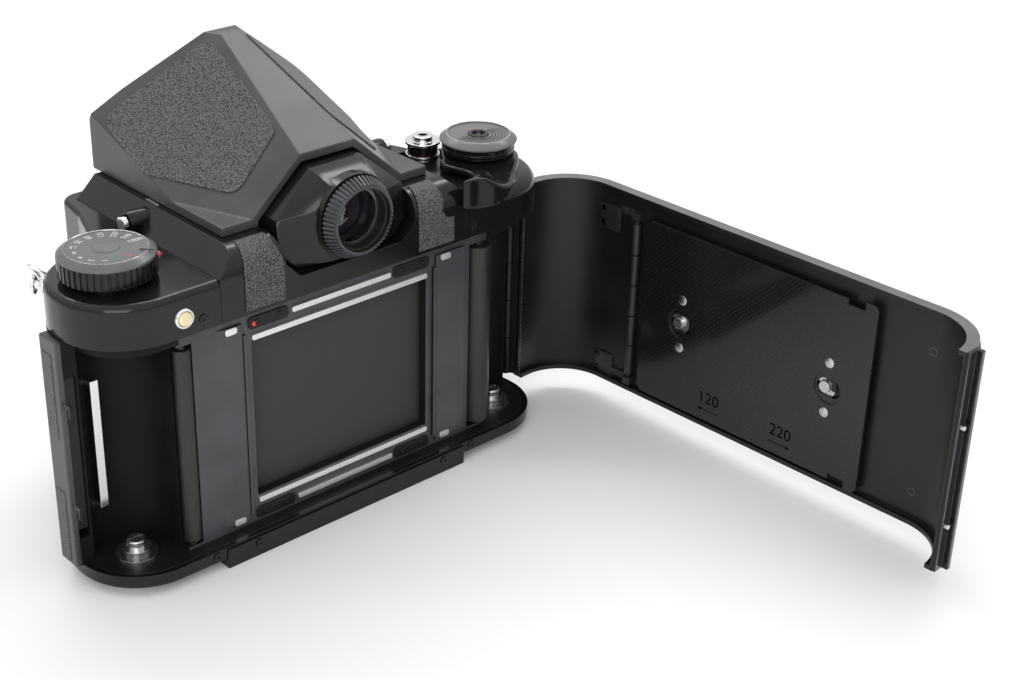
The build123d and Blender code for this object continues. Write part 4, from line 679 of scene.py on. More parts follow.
def rib_tree():
    """Ribs round a ring: one small bar copied round a circle and laid against it."""
    return node_group(
        "ribs_round_a_ring",
        (("Ring", "Geometry"), ("Ribs", "Int"), ("Radius", "Float"), ("Height", "Float"),
         ("Rib Size", "Vector"), ("Lean", "Float"), ("Finish", "Material"), ("Whole", "Geometry")),
        (("circle", "GeometryNodeMeshCircle"), ("bar", "GeometryNodeMeshCube"),
         ("copies", "GeometryNodeInstanceOnPoints"), ("index", "GeometryNodeInputIndex"),
         ("part", "ShaderNodeMath", {"operation": "DIVIDE"}),
         ("angle", "ShaderNodeMath", {"operation": "MULTIPLY", "values": {1: 2 * math.pi}}),
         ("turn", "ShaderNodeCombineXYZ"), ("raised", "ShaderNodeCombineXYZ"),
         ("lift", "GeometryNodeTransform"), ("whole", "GeometryNodeJoinGeometry"),
         ("plain", "GeometryNodeRealizeInstances"), ("finish", "GeometryNodeSetMaterial")),
        (("inside", "Ribs", "circle", "Vertices"), ("inside", "Radius", "circle", "Radius"),
         ("circle", "Mesh", "copies", "Points"), ("inside", "Rib Size", "bar", "Size"),
         ("bar", "Mesh", "copies", "Instance"), ("index", "Index", "part", 0),
         ("inside", "Ribs", "part", 1), ("part", "Value", "angle", 0), ("angle", "Value", "turn", "Z"),
         ("inside", "Lean", "turn", "Y"), ("turn", "Vector", "copies", "Rotation"),
         ("inside", "Height", "raised", "Z"), ("copies", "Instances", "lift", "Geometry"),
         ("raised", "Vector", "lift", "Translation"), ("inside", "Ring", "whole", "Geometry"),
         ("lift", "Geometry", "whole", "Geometry"), ("whole", "Geometry", "plain", "Geometry"),
         ("plain", "Geometry", "finish", "Geometry"), ("inside", "Finish", "finish", "Material"),
         ("finish", "Geometry", "outside", "Whole")))


def run_tree(thing, group, name, values):
    """Sets a tree's named inputs on an object and returns the result as a plain mesh object."""
    modifier = thing.modifiers.new(group.name, "NODES")
    modifier.node_group = group
    for item in group.interface.items_tree:
        if item.in_out == "INPUT" and item.name in values:
            modifier[item.identifier] = values[item.name]
    return baked(thing, name)


def repeated(name, spots, shape_mesh, finish, turn, wobble=0.0, seed=1):
    """One piece of many copies of a small shape."""
    points = bpy.data.meshes.new(name + "_points")
    points.from_pydata([tuple(spot) for spot in spots], [], [])
    holder = object_from(name + "_points", points)
    sample = object_from(name + "_sample", shape_mesh)
    values = {"Shape": sample, "Size": 1.0, "Turn": turn, "Wobble": wobble, "Seed": seed,
              "Finish": finishes[finish]}
    piece = run_tree(holder, repeat_tree(), name, values)
    bpy.data.objects.remove(sample)
    return piece


def ribbed(name, ring_mesh, ribs, radius, height, rib_size, lean, finish):
    """A turned ring with ribs round it."""
    values = {"Ribs": ribs, "Radius": radius * MM, "Height": height * MM,
              "Rib Size": tuple(edge * MM for edge in rib_size), "Lean": math.radians(lean),
              "Finish": finishes[finish]}
    return run_tree(object_from(name + "_ring", ring_mesh), rib_tree(), name, values)


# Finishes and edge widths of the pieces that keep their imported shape

body_dressing = {
    "main_casting": ("cast", 0.25), "supply_side_casting": ("chamber", 0.25),
    "takeup_side_casting": ("chamber", 0.25), "bottom_cover": ("enamel", 0.7),
    "tripod_plate": ("enamel", 0.4), "tripod_socket": ("brass", 0.2), "front_shell": ("enamel", 0.6),
    "mirror_box": ("chamber", 0.3), "lens_mount_ring": ("chrome", 0.15),
    "sync_terminals": ("chrome", 0.15), "gate_corner_plates": ("cast", 0.12),
    "supply_leaf": ("chrome", 0.12), "battery": ("steel", 0.3), "finder_seat": ("enamel", 0.9),
    "index_lamp": ("red", 0.1), "top_cover_left": ("enamel", 0.6), "top_cover_right": ("enamel", 0.6),
    "body_leather": ("leather", 0.25), "film_rails": ("bright_satin", 0.18),
    "shutter_curtain": ("cloth", 0.05), "hinge_strip": ("enamel", 0.2), "hinge_pin": ("steel", 0.1),
}
finder_dressing = {
    "finder_housing": ("housing", 1.5), "finder_leather": ("leather", 0.2),
    "eyepiece_block": ("enamel", 1.0), "finder_optics": ("lens", 0.1),
}
door_dressing = {
    "back_door": ("door", 0.35), "door_edge_strip": ("enamel", 0.25), "door_leather": ("leather", 0.25),
    "roller_brackets": ("plastic", 0.2), "door_studs": ("steel", 0.15), "pressure_plate": ("plate", 0.15),
    "door_roller": ("plastic", 0.25),
}
control_dressing = {
    "latch_strip": ("housing", 0.4), "latch_bar": ("cast", 0.15), "supply_knob": ("chrome", 0.2),
    "takeup_knob": ("chrome", 0.2), "supply_spindle": ("steel", 0.2), "takeup_spindle": ("steel", 0.2),
    "takeup_key": ("steel", 0.2), "battery_door": ("steel", 0.2), "counter_disc": ("enamel", 0.1),
    "release_collar": ("chrome", 0.12), "shutter_release": ("chrome", 0.2),
    "battery_check_button": ("cream", 0.5),
    "finder_release_left": ("enamel", 0.5), "finder_release_right": ("enamel", 0.5),
    "lens_lock_lever": ("chrome", 0.3), "reflex_mirror": ("silvered", 0.15),
    "shutter_drum_left": ("dark_steel", 0.1), "shutter_drum_right": ("dark_steel", 0.1),
    "left_guide_roller": ("plastic", 0.3), "right_guide_roller": ("plastic", 0.3),
    "focusing_screen": ("ground", 0.2), "strap_lugs": ("chrome", 0.2),
}


def dress_all(table):
    """Every piece of one table, by its node."""
    return {node: dressed(node, finish, width) for node, (finish, width) in table.items()}


# Screws


def screw_head(radius, tall):
    """A flat screw head with a cross recess, facing +Z from the plane z = 0."""
    arm, slit = 0.58 * radius, 0.13 * radius
    cross = [(slit, slit), (arm, slit), (arm, -slit), (slit, -slit), (slit, -arm), (-slit, -arm),
             (-slit, -slit), (-arm, -slit), (-arm, slit), (-slit, slit), (-slit, arm), (slit, arm)]
    head = plate([circle_loop(radius), cross], tall, 0.12)
    floor = plate([circle_loop(0.9 * radius)], tall * 0.3)
    return joined("screw_head", [head, floor])


def screws():
    """Every small screw at its place in the CAD model, each turned at random."""
    mount_y, cover_y = -50 * MM, 3 * MM
    seats = {"gate": [], "cover": [], "mount": []}
    for low, high in islands("body_screws"):
        at = (low + high) / 2
        kind = "mount" if at.y < mount_y else "cover" if high.y > cover_y else "gate"
        seats[kind].append(Vector((at.x, low.y if kind == "mount" else high.y, at.z)))
    quarter = math.pi / 2
    for kind, radius, tall, finish, turn in (("gate", 1.1, 0.3, "enamel", -quarter),
                                             ("cover", 1.5, 0.45, "enamel", -quarter),
                                             ("mount", 1.1, 0.5, "steel", quarter)):
        out = 1 if turn < 0 else -1
        spots = [spot - Vector((0, out * tall * MM, 0)) for spot in seats[kind]]
        piece = repeated(kind + "_screws", spots, screw_head(radius, tall), finish,
                         (turn, 0, 0), math.pi, seed=3)
        settle(smoothed(piece, 30), "body", "black_enamel", "body_screws")


# Body, left to right


def battery_check_bezel():
    """Chrome ring round the battery test button."""
    at = middle("battery_check_button")
    ring = lathe("bezel", [(2.3, 0), (3.3, 0), (3.3, 0.35), (2.95, 0.8), (2.55, 0.85), (2.3, 0.6)])
    detail("battery_check_bezel", ring, facing_back(at.x, BACK_FACE, at.z), "chrome", "body",
           "chrome_trim")


def release_bosses():
    """Rounded bosses round the finder's release buttons, on the seat's slopes."""
    for side, node in ((1, "finder_release_left"), (-1, "finder_release_right")):
        at = middle(node)
        foot = 43.2 * side
        tube = lathe("boss", [(2.45, 0), (3.4, 0), (3.4, 6.4), (3.1, 7.2), (2.6, 7.4), (2.45, 7.1)])
        place = facing((foot, at.y, at.z), (0, side, 0), (0, 0, 1))
        detail(node + "_boss", tube, place, "enamel", "body", "black_enamel")


def seat_slot():
    """Small locking slot with bright lips beside the finder's foot."""
    loops = [box_loop(-3.4, 3.4, -0.55, 0.55, 0.5), box_loop(-2.9, 2.9, -0.2, 0.2)]
    _, seat = span("finder_seat")
    x, y, sunk = 40.6, -42.5, 0.05
    place = facing((x, y, seat.z - sunk), (0, 1, 0), (-1, 0, 0))
    detail("finder_slot", plate(loops, 0.12), place, "chrome", "body", "chrome_trim")


def gate_mark():
    """Red start mark on the gate's corner plate."""
    _, top = span("gate_corner_plates")
    x, z = 34.0, 78.1
    detail("start_mark", plate([circle_loop(0.8)], 0.2), facing_back(x, top.y, z), "red_mark", "body",
           "lamp_red")


def strap_loop():
    """Bent wire loop in the left strap lug."""
    points = [(83.6, -34.0, 93.8), (84.3, -34.2, 95.0), (86.6, -36.4, 99.4), (87.0, -36.6, 100.0),
              (87.3, -36.1, 100.5), (87.3, -34.9, 100.8), (87.0, -34.5, 100.6), (83.6, -32.6, 97.4)]
    detail("strap_loop", wire(points, 0.65), Matrix(), "chrome", "body", "chrome_trim")


def hinge_seal():
    """Row of small bright stitches down the light seal at the hinge."""
    low, high = span("hinge_strip")
    count, margin = 46, 3.0
    step = (high.z - low.z - 2 * margin) / count
    spots = [mm(SEAL_X, SEAL_Y, low.z + margin + step * i) for i in range(count)]
    bead = plate([box_loop(-0.28, 0.28, -0.42, 0.42, 0.12)], 0.12)
    piece = repeated("hinge_seal_stitches", spots, bead, "steel", (-math.pi / 2, 0, math.pi / 4), 0.0)
    settle(piece, "body", "steel_pin")


# Controls


def speed_dial():
    """Shutter dial: fluted edge, bevelled ring and the times in seconds."""
    at = middle("speed_dial")
    _, top = span("speed_dial")
    turned = lathe("dial", [(0, -15.5), (3.0, -15.5), (3.0, -9.4), (11.6, -9.4), (11.6, -8.0),
                            (13.5, -8.0), (14.0, -7.5), (14.0, -2.3), (14.45, -2.1), (14.45, -1.5),
                            (12.7, -0.1), (12.45, 0), (12.1, 0), (12.0, -0.3), (4.0, -0.3),
                            (3.9, -0.05), (0, -0.05)])
    # The dial's top and chamfer in the satin grey, partly its own and partly painted reflection
    piece = ribbed("speed_dial_piece", turned, 44, 14.1, -5.0, (0.85, 1.25, 5.4), 0, "satin")
    repaint(piece, "enamel", lambda c, n: c.z < -2.4 and abs(n.z) < 0.3)
    rim = [(12.15 + 0.14 * math.cos(turn), 0.14 * math.sin(turn))
           for turn in (math.pi * i / 4 for i in range(8))]
    detail("dial_ring", lathe("dial_ring", rim), facing_up(at.x, at.y, top.z - 0.12), "chrome",
           "speed_dial", "chrome_trim")
    seated(piece, Matrix.Translation(mm(at.x, at.y, top.z)), "speed_dial", "housing_grey")
    times = ("1000", "500", "250", "125", "60", "30", "15", "8", "4", "2", "1")
    face, reach, first, step = top.z - 0.3, 9.3, 39, 24.1
    white = [put(lettering(text, 1.9), dial_spot(at, face, first + step * i, reach))
             for i, text in enumerate(times)]
    detail("dial_times", joined("dial_times", white), Matrix(), "white", "speed_dial", "cream_plastic")
    for text, finish, turn in (("B", "green", 304.0), ("X", "orange", 328.0)):
        detail("dial_" + finish, lettering(text, 2.0), dial_spot(at, face, turn, reach), finish,
               "speed_dial", "cream_plastic")
    bar = plate([box_loop(-2.0, 2.1, -0.28, 0.28)], 0.1)
    detail("dial_index", bar, dial_spot(at, top.z - 0.05, -5, 12.0), "enamel", "speed_dial",
           "black_enamel")


def counter_marks():
    """A numeral in the counter's window and two lock marks by the release."""
    _, disc = span("counter_disc")
    detail("counter_numeral", lettering("2", 2.2), dial_spot(Vector((-60.4, -20.6, 0)), disc.z, 90, 0),
           "white", "counter_disc", "cream_plastic")
    _, collar = span("release_collar")
    for name, x, y in (("on", -58.2, -31.2), ("off", -60.6, -29.4)):
        detail("lock_mark_" + name, plate([circle_loop(0.5)], 0.06), facing_up(x, y, collar.z),
               "orange", "release_collar", "chrome_trim")


# Wind lever's blade by angle round the hub: inner radius, radius where it steps down,
# outer radius, low, inner top and outer top in millimetres
BLADE = ((156, 11.6, 12.6, 13.1, 100.0, 102.6, 102.4), (143, 11.6, 12.8, 13.3, 100.0, 103.0, 102.9),
         (128, 11.6, 13.2, 14.0, 100.0, 103.1, 103.0), (107, 11.6, 14.2, 15.9, 100.0, 103.1, 102.9),
         (92, 11.6, 16.0, 18.4, 100.0, 103.1, 102.4), (82, 11.6, 19.0, 22.0, 100.0, 103.0, 101.8),
         (74, 11.6, 24.5, 26.3, 99.9, 102.6, 101.6), (68, 11.6, 25.2, 29.2, 98.0, 102.4, 101.7),
         (63, 11.6, 25.3, 30.6, 96.3, 102.3, 102.4), (58, 11.6, 26.0, 31.6, 95.8, 102.3, 104.2),
         (53, 20.0, 28.0, 32.7, 95.7, 103.4, 106.2), (48, 27.6, 30.2, 34.2, 95.8, 106.2, 106.8),
         (44, 32.5, 33.4, 36.0, 96.4, 106.5, 106.9), (40.5, 35.4, 35.6, 37.6, 97.0, 106.4, 106.7))
# Its broad root by angle: outer radius and top
ROOT = ((-22, 12.6, 102.5), (-12, 15.0, 102.5), (6, 16.4, 102.5), (19, 16.4, 102.5), (32, 16.8, 102.5),
        (40, 18.2, 102.4), (45, 20.6, 102.3), (50, 24.4, 102.3), (55, 23.0, 102.0))
ROOT_INNER = 11.0


def round_hub(hub, turn, profile):
    """An upright section at an angle round the hub, from pairs of radius and height."""
    way = math.radians(turn)
    return [(hub.x + r * math.cos(way), hub.y + r * math.sin(way), z) for r, z in profile]


def wind_lever():
    """The winding lever: a blade that curls out from under the dial into a tall thumb piece."""
    hub = middle("reminder_dial")
    blade = []
    for turn, inner, step, outer, low, inner_top, outer_top in BLADE:
        floor = max(low, LEVER_LOW)
        dip = max((inner_top + outer_top) / 2 - 0.04 * (outer - inner), floor + 1)
        profile = ((inner, floor), (inner, inner_top), (0.45 * inner + 0.55 * outer, dip),
                   (outer, outer_top), (outer + 0.01, low), (step, low - 0.01), (step - 0.01, floor))
        blade.append(round_hub(hub, turn, profile))
    root = []
    for turn, outer, top in ROOT:
        profile = ((ROOT_INNER, LEVER_LOW), (ROOT_INNER, top), ((ROOT_INNER + outer) / 2, top - 0.25),
                   (outer - 0.5, top), (outer, top - 0.5), (outer, LEVER_LOW + 0.6),
                   (outer - 0.5, LEVER_LOW))
        root.append(round_hub(hub, turn, profile))
    ring = put(lathe("ring", [(8.6, LEVER_LOW), (13.0, LEVER_LOW), (13.0, 102.8), (8.6, 102.8)]),
               Matrix.Translation(mm(hub.x, hub.y, 0)))
    raw = joined("wind_lever_raw", [lofted("blade", blade), lofted("root", root), ring])
    thing = object_from("wind_lever_raw", raw)
    grid = thing.modifiers.new("grid", "REMESH")
    grid.mode = "VOXEL"
    grid.voxel_size = 0.35 * MM
    soft = thing.modifiers.new("soft", "SMOOTH")
    soft.factor = 0.6
    soft.iterations = 24
    piece = baked(thing, "wind_lever_piece")
    piece.data.shade_smooth()
    settle(paint(piece, "enamel"), "wind_lever", "black_enamel", "wind_lever")


def dial_spot(at, height, turn, radius):
    """A place on a dial's top whose X runs outwards, turned from the photograph's right."""
    angle = math.radians(turn + VIEW_RIGHT)
    out = Vector((math.cos(angle), math.sin(angle), 0))
    spot = Vector((at.x, at.y, height)) + out * radius
    return facing(spot, out, UP.cross(out))


def reminder_dial():
    """Film reminder: wide bevelled rim round a dished face with curved relief lines."""
    at = middle("reminder_dial")
    _, top = span("reminder_dial")
    turned = lathe("cap", [(0, -6.0), (12.0, -6.0), (12.0, -5.2), (12.4, -5.0), (12.4, -4.4),
                           (12.1, -4.2), (12.1, -3.7), (12.3, -3.6), (12.3, -3.0), (13.1, -2.3),
                           (13.15, -1.8), (11.1, -0.05), (10.85, 0), (10.6, 0), (10.5, -0.45),
                           (3.7, -0.62), (3.5, -0.2), (2.3, -0.15), (2.1, -0.9), (1.1, -1.0),
                           (0.9, -0.6), (0, -0.6)])
    # The dial's face in the satin grey, partly its own and partly painted reflection
    piece = paint(object_from("reminder_dial_piece", turned), "satin")
    repaint(piece, "enamel", lambda c, n: c.xy.length < 3.8 or c.z < -2.4)
    repaint(piece, "chrome", lambda c, n: c.z > -0.1 and 10.5 < c.xy.length < 10.72)
    crown = top.z + REMINDER_RISE
    seated(piece, Matrix.Translation(mm(at.x, at.y, crown)), "reminder_dial", "housing_grey")
    lines = [plate([arc_loop(r, r + 0.32, -165 + 3 * r, 62 - 2 * r)], 0.12)
             for r in (4.7, 5.8, 6.9, 8.0, 9.1)]
    detail("reminder_lines", joined("reminder_lines", lines), dial_spot(at, crown - 0.6, 0, 0),
           "enamel", "reminder_dial", "black_enamel")
    for text, turn, r in (("0", 118.0, 5.6), ("-", 118.0, 9.6)):
        detail("reminder_mark_" + str(int(r)), lettering(text, 1.8), dial_spot(at, crown - 0.55, turn, r),
               "orange", "reminder_dial", "cream_plastic")


def eyepiece_ring():
    """Ribbed eyepiece ring, dark inside, with pale crests on its ribs."""
    low, high = span("eyepiece_ring")
    at = middle("eyepiece_ring")
    tall = high.y - EYE_SEAT
    turned = lathe("ring", [(9.6, low.y - EYE_SEAT), (10.9, low.y - EYE_SEAT), (10.9, 0.2), (12.3, 0.2),
                            (12.3, 1.1), (10.7, tall - 0.2), (10.3, tall), (10.0, tall - 0.1),
                            (9.9, 3.2), (9.5, 3.0), (9.6, 2.2)])
    piece = ribbed("eyepiece_ring_piece", turned, 54, 11.85, 2.45, (0.9, 0.72, 4.2), -27.2, "ribs")
    repaint(piece, "enamel", lambda c, n: c.xy.length < 10.3 or n.z < -0.5)
    repaint(piece, "cast", lambda c, n: c.xy.length < 9.99)
    seated(piece, facing_back(at.x, EYE_SEAT, at.z), "eyepiece_ring", "black_enamel")
    wells = [(9.5, -2.0), (8.4, -2.2), (8.4, -2.6), (9.5, -2.6)]
    detail("eyepiece_stop", lathe("stop", wells), facing_back(at.x, EYE_SEAT + 1.9, at.z), "polished",
           "finder", "black_enamel")


# Back door


def door_detail(name, mesh, place, finish, slot, body="door"):
    """A small piece measured on the shut door."""
    detail(name, mesh, door_place() @ place, finish, body, slot)


def facing_film(x, y, z):
    """A place on the shut door's inside, facing the film."""
    return facing((x, y, z), (1, 0, 0), (0, 0, 1))


def plate_rivets():
    """Four bright rivets of the pressure plate."""
    dome = lathe("rivet", [(0, 0), (1.8, 0), (1.8, 0.1), (1.5, 0.24), (0, 0.28)], 32)
    spots = [(x, z) for x in (-29.9, 32.5) for z in (PLATE_STUD_Z + 9.4, PLATE_STUD_Z - 9.0)]
    heads = [put(dome.copy(), facing_film(x, PLATE_FACE, z)) for x, z in spots]
    door_detail("plate_rivets", joined("plate_rivets", heads), Matrix(), "steel", "steel_pin",
                "pressure_plate")


def plate_numbers():
    """Film sizes and their arrows, pressed into the pressure plate, drawn as thin raised marks in painted
    shade.
    """
    marks = []
    numbers_z, arrows_z, half, thick = 19.8, 15.2, 4.6, 0.06
    for text, x, way in (("120", -15.2, -1), ("220", 16.2, 1)):
        marks.append(put(lettering(text, 4.6, thick), facing_film(x, PLATE_FACE, numbers_z)))
        line = plate([box_loop(-half, half, -0.12, 0.12)], thick)
        marks.append(put(line, facing_film(x, PLATE_FACE, arrows_z)))
        barb = plate([[(0, 0), (-1.8 * way, 0.55), (-1.8 * way, -0.55)]], thick)
        marks.append(put(barb, facing_film(x + half * way, PLATE_FACE, arrows_z)))
    door_detail("plate_numbers", joined("plate_numbers", marks), Matrix(), "painted_shade", "housing_grey",
                "pressure_plate")


def stud_slots():
    """Keyhole beside each of the plate's studs, drawn as a thin flat sheet in painted shade."""
    for side, x in (("left", -STUD_X), ("right", STUD_X)):
        slot = plate([box_loop(-4.1, -1.2, -0.85, 0.85, 0.8)], 0.05)
        door_detail("stud_slot_" + side, slot, facing_film(x, STUD_BASE, PLATE_STUD_Z), "painted_shade",
                    "black_enamel")


def bracket_rivets():
    """Two rivets in each of the roller's brackets."""
    dome = lathe("rivet", [(0, 0), (1.2, 0), (1.2, 0.1), (0.9, 0.25), (0, 0.3)], 32)
    heads, thick = [], 0.5
    for side, low, rivets in (("top", 67.3, (75.0, 69.5)), ("base", 8.6, (16.0, 10.7))):
        foot = plate([box_loop(-72.0, -62.6, low, low + 9.4, 0.8)], thick, 0.08)
        door_detail("bracket_foot_" + side, foot, facing_film(0, DOOR_INSIDE, 0), "plastic",
                    "door_black")
        heads += [put(dome.copy(), facing_film(-70.0, DOOR_INSIDE - thick, z)) for z in rivets]
    door_detail("bracket_rivets", joined("bracket_rivets", heads), Matrix(), "dark_steel", "steel_pin")


def hinge_flap():
    """Cloth flap that keeps light out between the hinge's knuckles."""
    low, high = span("hinge_pin")
    pin = middle("hinge_pin")
    edge = ((1.95, -0.1), (2.1, -0.35), (4.0, 0.85), (3.9, 1.1))
    ends = [[(pin.x + x, pin.y + y, z) for x, y in edge] for z in (low.z + 0.4, high.z - 0.4)]
    door_detail("hinge_flap", lofted("hinge_flap", ends, triangles=False), Matrix(), "chamber", "cloth")


def door_dimples():
    """Round marks pressed in the door's inside."""
    spots = [(67.8, 69.9), (67.4, 18.6), (-71.0, 15.8)]
    ring = plate([circle_loop(1.5), circle_loop(1.15)], 0.08)
    rings = [put(ring.copy(), facing_film(x, DOOR_INSIDE, z)) for x, z in spots]
    door_detail("door_dimples", joined("door_dimples", rings), Matrix(), "polished", "door_black")


def colour_setting(name, description, default):
    """A colour in the sidebar."""
    return bpy.props.FloatVectorProperty(name=name, description=description, subtype="COLOR", size=3,
                                         min=0, max=1, default=default)


def angle_setting(name, description, degrees):
    """An angle in the sidebar."""
    return bpy.props.FloatProperty(name=name, description=description, subtype="ANGLE",
                                   default=math.radians(degrees))


def power_setting(name, description, watts):
    """A light's power in the sidebar."""
    return bpy.props.FloatProperty(name=name, description=description, subtype="POWER", unit="POWER",
                                   default=watts)


class CameraFinish(bpy.types.PropertyGroup):
    """Colours and gloss of the camera."""
    enamel_colour: colour_setting("Enamel", "Black enamel of the covers", (0.006, 0.006, 0.007))
    enamel_roughness: bpy.props.FloatProperty(
        name="Enamel roughness", description="How dull the enamel is", subtype="FACTOR",
        min=0, max=1, default=0.17)
    housing_colour: colour_setting("Finder enamel", "Satin enamel of the finder", (0.045, 0.046, 0.048))
    cast_colour: colour_setting("Casting", "Matt black inside the body", (0.008, 0.008, 0.009))
    leather_colour: colour_setting("Leather", "Pebbled leathercloth", (0.11, 0.115, 0.122))
    cloth_colour: colour_setting("Shutter cloth", "Woven shutter cloth", (0.033, 0.033, 0.036))


class StageSettings(bpy.types.PropertyGroup):
    """The camera that looks, the floor and the lights."""
    azimuth: angle_setting("Azimuth", "Where the view stands round the object", 136.1655)
    elevation: angle_setting("Elevation", "How far the view looks down", 27.22)
    roll: angle_setting("Roll", "The view's lean to one side", 1.67135)
    view_at: bpy.props.FloatVectorProperty(
        name="View point", description="Where the view stands", subtype="TRANSLATION", unit="LENGTH",
        size=3, default=(0.3103, 0.4006, 0.3222))
    lens: bpy.props.FloatProperty(
        name="Lens", description="Focal length on a 36 mm wide sensor, in millimetres", default=62.46)
    key_power: power_setting("Key light", "Power of the large overhead light", 1.2)
    side_power: power_setting("Side light", "Power of the soft light at the side", 4.6)
    edge_power: power_setting("Edge light", "Power of the narrow light on the rounded edges", 5.0)
    sky: bpy.props.FloatProperty(
        name="Surround", description="Brightness of the white surround", default=0.95)
    horizon: bpy.props.FloatProperty(
        name="Horizon", description="Share of that brightness near the horizon", default=0.45)


def area_light(name, at, size, power):
    """One rectangular soft light turned to the object."""
    lamp = bpy.data.lights.new(name, "AREA")
    lamp.shape = "RECTANGLE"
    lamp.size, lamp.size_y = size
    lamp.energy = power
    thing = bpy.data.objects.new(name, lamp)
    thing.location = at
    aim = Vector((0, 0, 0.06)) - Vector(at)
    thing.rotation_euler = aim.to_track_quat("-Z", "Y").to_euler()
    bpy.context.scene.collection.objects.link(thing)


class CAMERA_OT_stage(bpy.types.Operator):
    """Pale floor, soft light and the view"""
    bl_idname = "film_camera.stage"
    bl_label = "Stage"

    def execute(self, context):
        stage = context.scene.camera_stage
        level = math.cos(stage.elevation)
        back = Vector((math.sin(stage.azimuth) * level, -math.cos(stage.azimuth) * level,
                       math.sin(stage.elevation)))
        right = (-back).cross(UP).normalized()
        up = back.cross(right)
        lean = math.cos(stage.roll), math.sin(stage.roll)
        leaning_right = right * lean[0] + up * lean[1]
        leaning_up = up * lean[0] - right * lean[1]
        eye = bpy.data.cameras.new("view")
        eye.sensor_width = 36.0
        eye.lens = stage.lens
        eye.clip_start = 0.02
        thing = bpy.data.objects.new("view", eye)
        turn = Matrix((leaning_right, leaning_up, back)).transposed().to_4x4()
        thing.matrix_world = Matrix.Translation(Vector(stage.view_at)) @ turn
        context.scene.collection.objects.link(thing)
        context.scene.camera = thing
        self.floor()
        self.lights(stage)
        return {"FINISHED"}

    def floor(self):
        """A wide, flat floor of pale paper."""
        material, tree, shader, place = new_material("pale_paper", (0.86, 0.86, 0.87), 0.75)
        fibre = noise(tree, place, 700.0, 3.0)
        bump(tree, fibre, "Fac", 0.00005, 0.05, shader)
        half, depth = 3.0, -0.00005
        corners = [(x * half, y * half, depth) for x, y in ((-1, -1), (1, -1), (1, 1), (-1, 1))]
        mesh = bpy.data.meshes.new("floor")
        mesh.from_pydata(corners, [], [(0, 1, 2, 3)])
        mesh.materials.append(material)
        object_from("floor", mesh)

    def lights(self, stage):
        """A large overhead light, a side light and a white surround."""
        area_light("overhead", (0.05, -0.25, 1.05), (1.5, 1.3), stage.key_power)
        area_light("left_side", (0.75, 0.75, 0.55), (0.7, 0.7), stage.side_power)
        area_light("edge_strip", (-0.45, -0.45, 0.95), (1.4, 0.16), stage.edge_power)
        world = bpy.data.worlds.new("surround")
        world.use_nodes = True
        tree = world.node_tree
        sky = tree.nodes["Background"]
        sky.inputs["Strength"].default_value = stage.sky
        way = add_node(tree, "ShaderNodeTexCoord")
        height = add_node(tree, "ShaderNodeSeparateXYZ")
        fade = add_node(tree, "ShaderNodeValToRGB")
        white_from = 0.45
        set_ramp(fade, (0.0, [stage.horizon] * 3), (white_from, (1, 1, 1)))
        link(tree, way, "Generated", height, "Vector")
        link(tree, height, "Z", fade, "Fac")
        link(tree, fade, "Color", sky, "Color")
        bpy.context.scene.world = world
        bpy.context.scene.view_settings.view_transform = "Standard"


class CAMERA_OT_body(bpy.types.Operator):
    """Castings, covers, base and gate"""
    bl_idname = "film_camera.body"
    bl_label = "Body"

    def execute(self, context):
        pieces = dress_all(body_dressing)
        # Grey guide panels on both sides of the gate and on the gate frame's faces towards the view,
        # partly their own satin grey and partly painted reflection; the chamber walls stay black
        for node in ("supply_side_casting", "takeup_side_casting"):
            repaint(pieces[node], "panel", lambda c, n: c.y > -4.2 and n.y > 0.3
                    and PANEL_INNER < abs(c.x) < PANEL_OUTER)
        repaint(pieces["main_casting"], "panel", lambda c, n: c.y > -1.2 and n.y > 0.3)
        screws()
        battery_check_bezel()
        release_bosses()
        seat_slot()
        gate_mark()
        strap_loop()
        hinge_seal()
        return {"FINISHED"}


class CAMERA_OT_finder(bpy.types.Operator):
    """Finder housing, its leather and the eyepiece"""
    bl_idname = "film_camera.finder"
    bl_label = "Finder"

    def execute(self, context):
        dress_all(finder_dressing)
        eyepiece_ring()
        return {"FINISHED"}


class CAMERA_OT_door(bpy.types.Operator):
    """Back door with its plate, roller and leather"""
    bl_idname = "film_camera.door"
    bl_label = "Back door"

    def execute(self, context):
        pieces = dress_all(door_dressing)
        # Grey rims, a polished edge strip and black feet of the plate's studs
        low, high = span("back_door")
        repaint(pieces["back_door"], "door_rim",
                lambda c, n: abs(n.z) > 0.7 and (c.z > high.z - 0.3 or c.z < low.z + 0.3))
        repaint(pieces["door_edge_strip"], "polished", lambda c, n: n.x > 0.8, door_place())
        repaint(pieces["door_studs"], "door", lambda c, n: abs(abs(c.x) - STUD_X) < 5
                and math.hypot(abs(c.x) - STUD_X, c.z - PLATE_STUD_Z) > 2.15, door_place())
        plate_rivets()
        plate_numbers()
        stud_slots()
        door_dimples()
        bracket_rivets()
        hinge_flap()
        return {"FINISHED"}


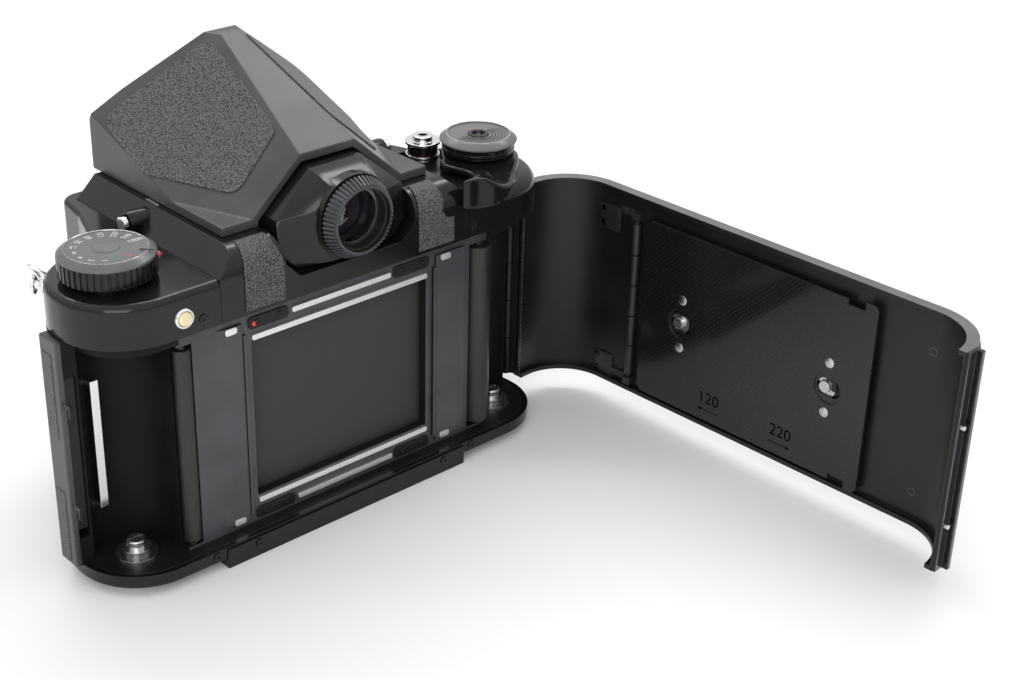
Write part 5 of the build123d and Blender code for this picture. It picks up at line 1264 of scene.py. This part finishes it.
class CAMERA_OT_controls(bpy.types.Operator):
    """Dials, levers, buttons and rollers"""
    bl_idname = "film_camera.controls"
    bl_label = "Controls"

    def execute(self, context):
        pieces = dress_all(control_dressing)
        # Painted highlights: chrome only on the upward faces of the latch bar's tips; leather pads on its
        # slide and the release's black skirt
        _, cover = span("top_cover_left")
        repaint(pieces["latch_bar"], "chrome", lambda c, n: c.x > cover.x and n.z > 0.9)
        strip_out = span("latch_strip")[1].x
        repaint(pieces["latch_strip"], "leather", lambda c, n: c.x > strip_out - 0.15)
        repaint(pieces["shutter_release"], "enamel", lambda c, n: c.z < cover.z + 4.3)
        # Dark discs round the spindles and bright ends of the finder's buttons
        for node in ("supply_spindle", "takeup_spindle"):
            disc = span(node)[0].z + 7.2
            repaint(pieces[node], "polished", lambda c, n: n.z > 0.7 and c.z < disc)
        for node, side in (("finder_release_left", 1), ("finder_release_right", -1)):
            tip = span(node)[1 if side > 0 else 0].x
            repaint(pieces[node], "chrome", lambda c, n: abs(c.x - tip) < 1.2)
        counter_marks()
        wind_lever()
        speed_dial()
        reminder_dial()
        return {"FINISHED"}


class CAMERA_PT_dressing(bpy.types.Panel):
    """The camera's finishes and its pieces"""
    bl_idname = "CAMERA_PT_dressing"
    bl_label = "Film camera"
    bl_space_type = "VIEW_3D"
    bl_region_type = "UI"
    bl_category = "Camera"

    def draw(self, context):
        for group in (context.scene.camera_finish, context.scene.camera_stage):
            for name in group.bl_rna.properties.keys():
                if name not in ("rna_type", "name"):
                    self.layout.prop(group, name)
        for step in steps:
            self.layout.operator(step.bl_idname)


steps = (CAMERA_OT_stage, CAMERA_OT_body, CAMERA_OT_finder, CAMERA_OT_door, CAMERA_OT_controls)
classes = (CameraFinish, StageSettings, *steps, CAMERA_PT_dressing)


def register():
    """Adds the classes and their settings."""
    for kind in classes:
        bpy.utils.register_class(kind)
    bpy.types.Scene.camera_finish = bpy.props.PointerProperty(type=CameraFinish)
    bpy.types.Scene.camera_stage = bpy.props.PointerProperty(type=StageSettings)


def unregister():
    """Takes the classes and their settings away."""
    del bpy.types.Scene.camera_stage
    del bpy.types.Scene.camera_finish
    for kind in reversed(classes):
        bpy.utils.unregister_class(kind)


def main():
    """Builds everything in order."""
    register()
    finishes.update(make_finishes())
    bpy.ops.film_camera.stage()
    bpy.ops.film_camera.body()
    bpy.ops.film_camera.finder()
    bpy.ops.film_camera.door()
    bpy.ops.film_camera.controls()


if __name__ == "__main__":
    main()
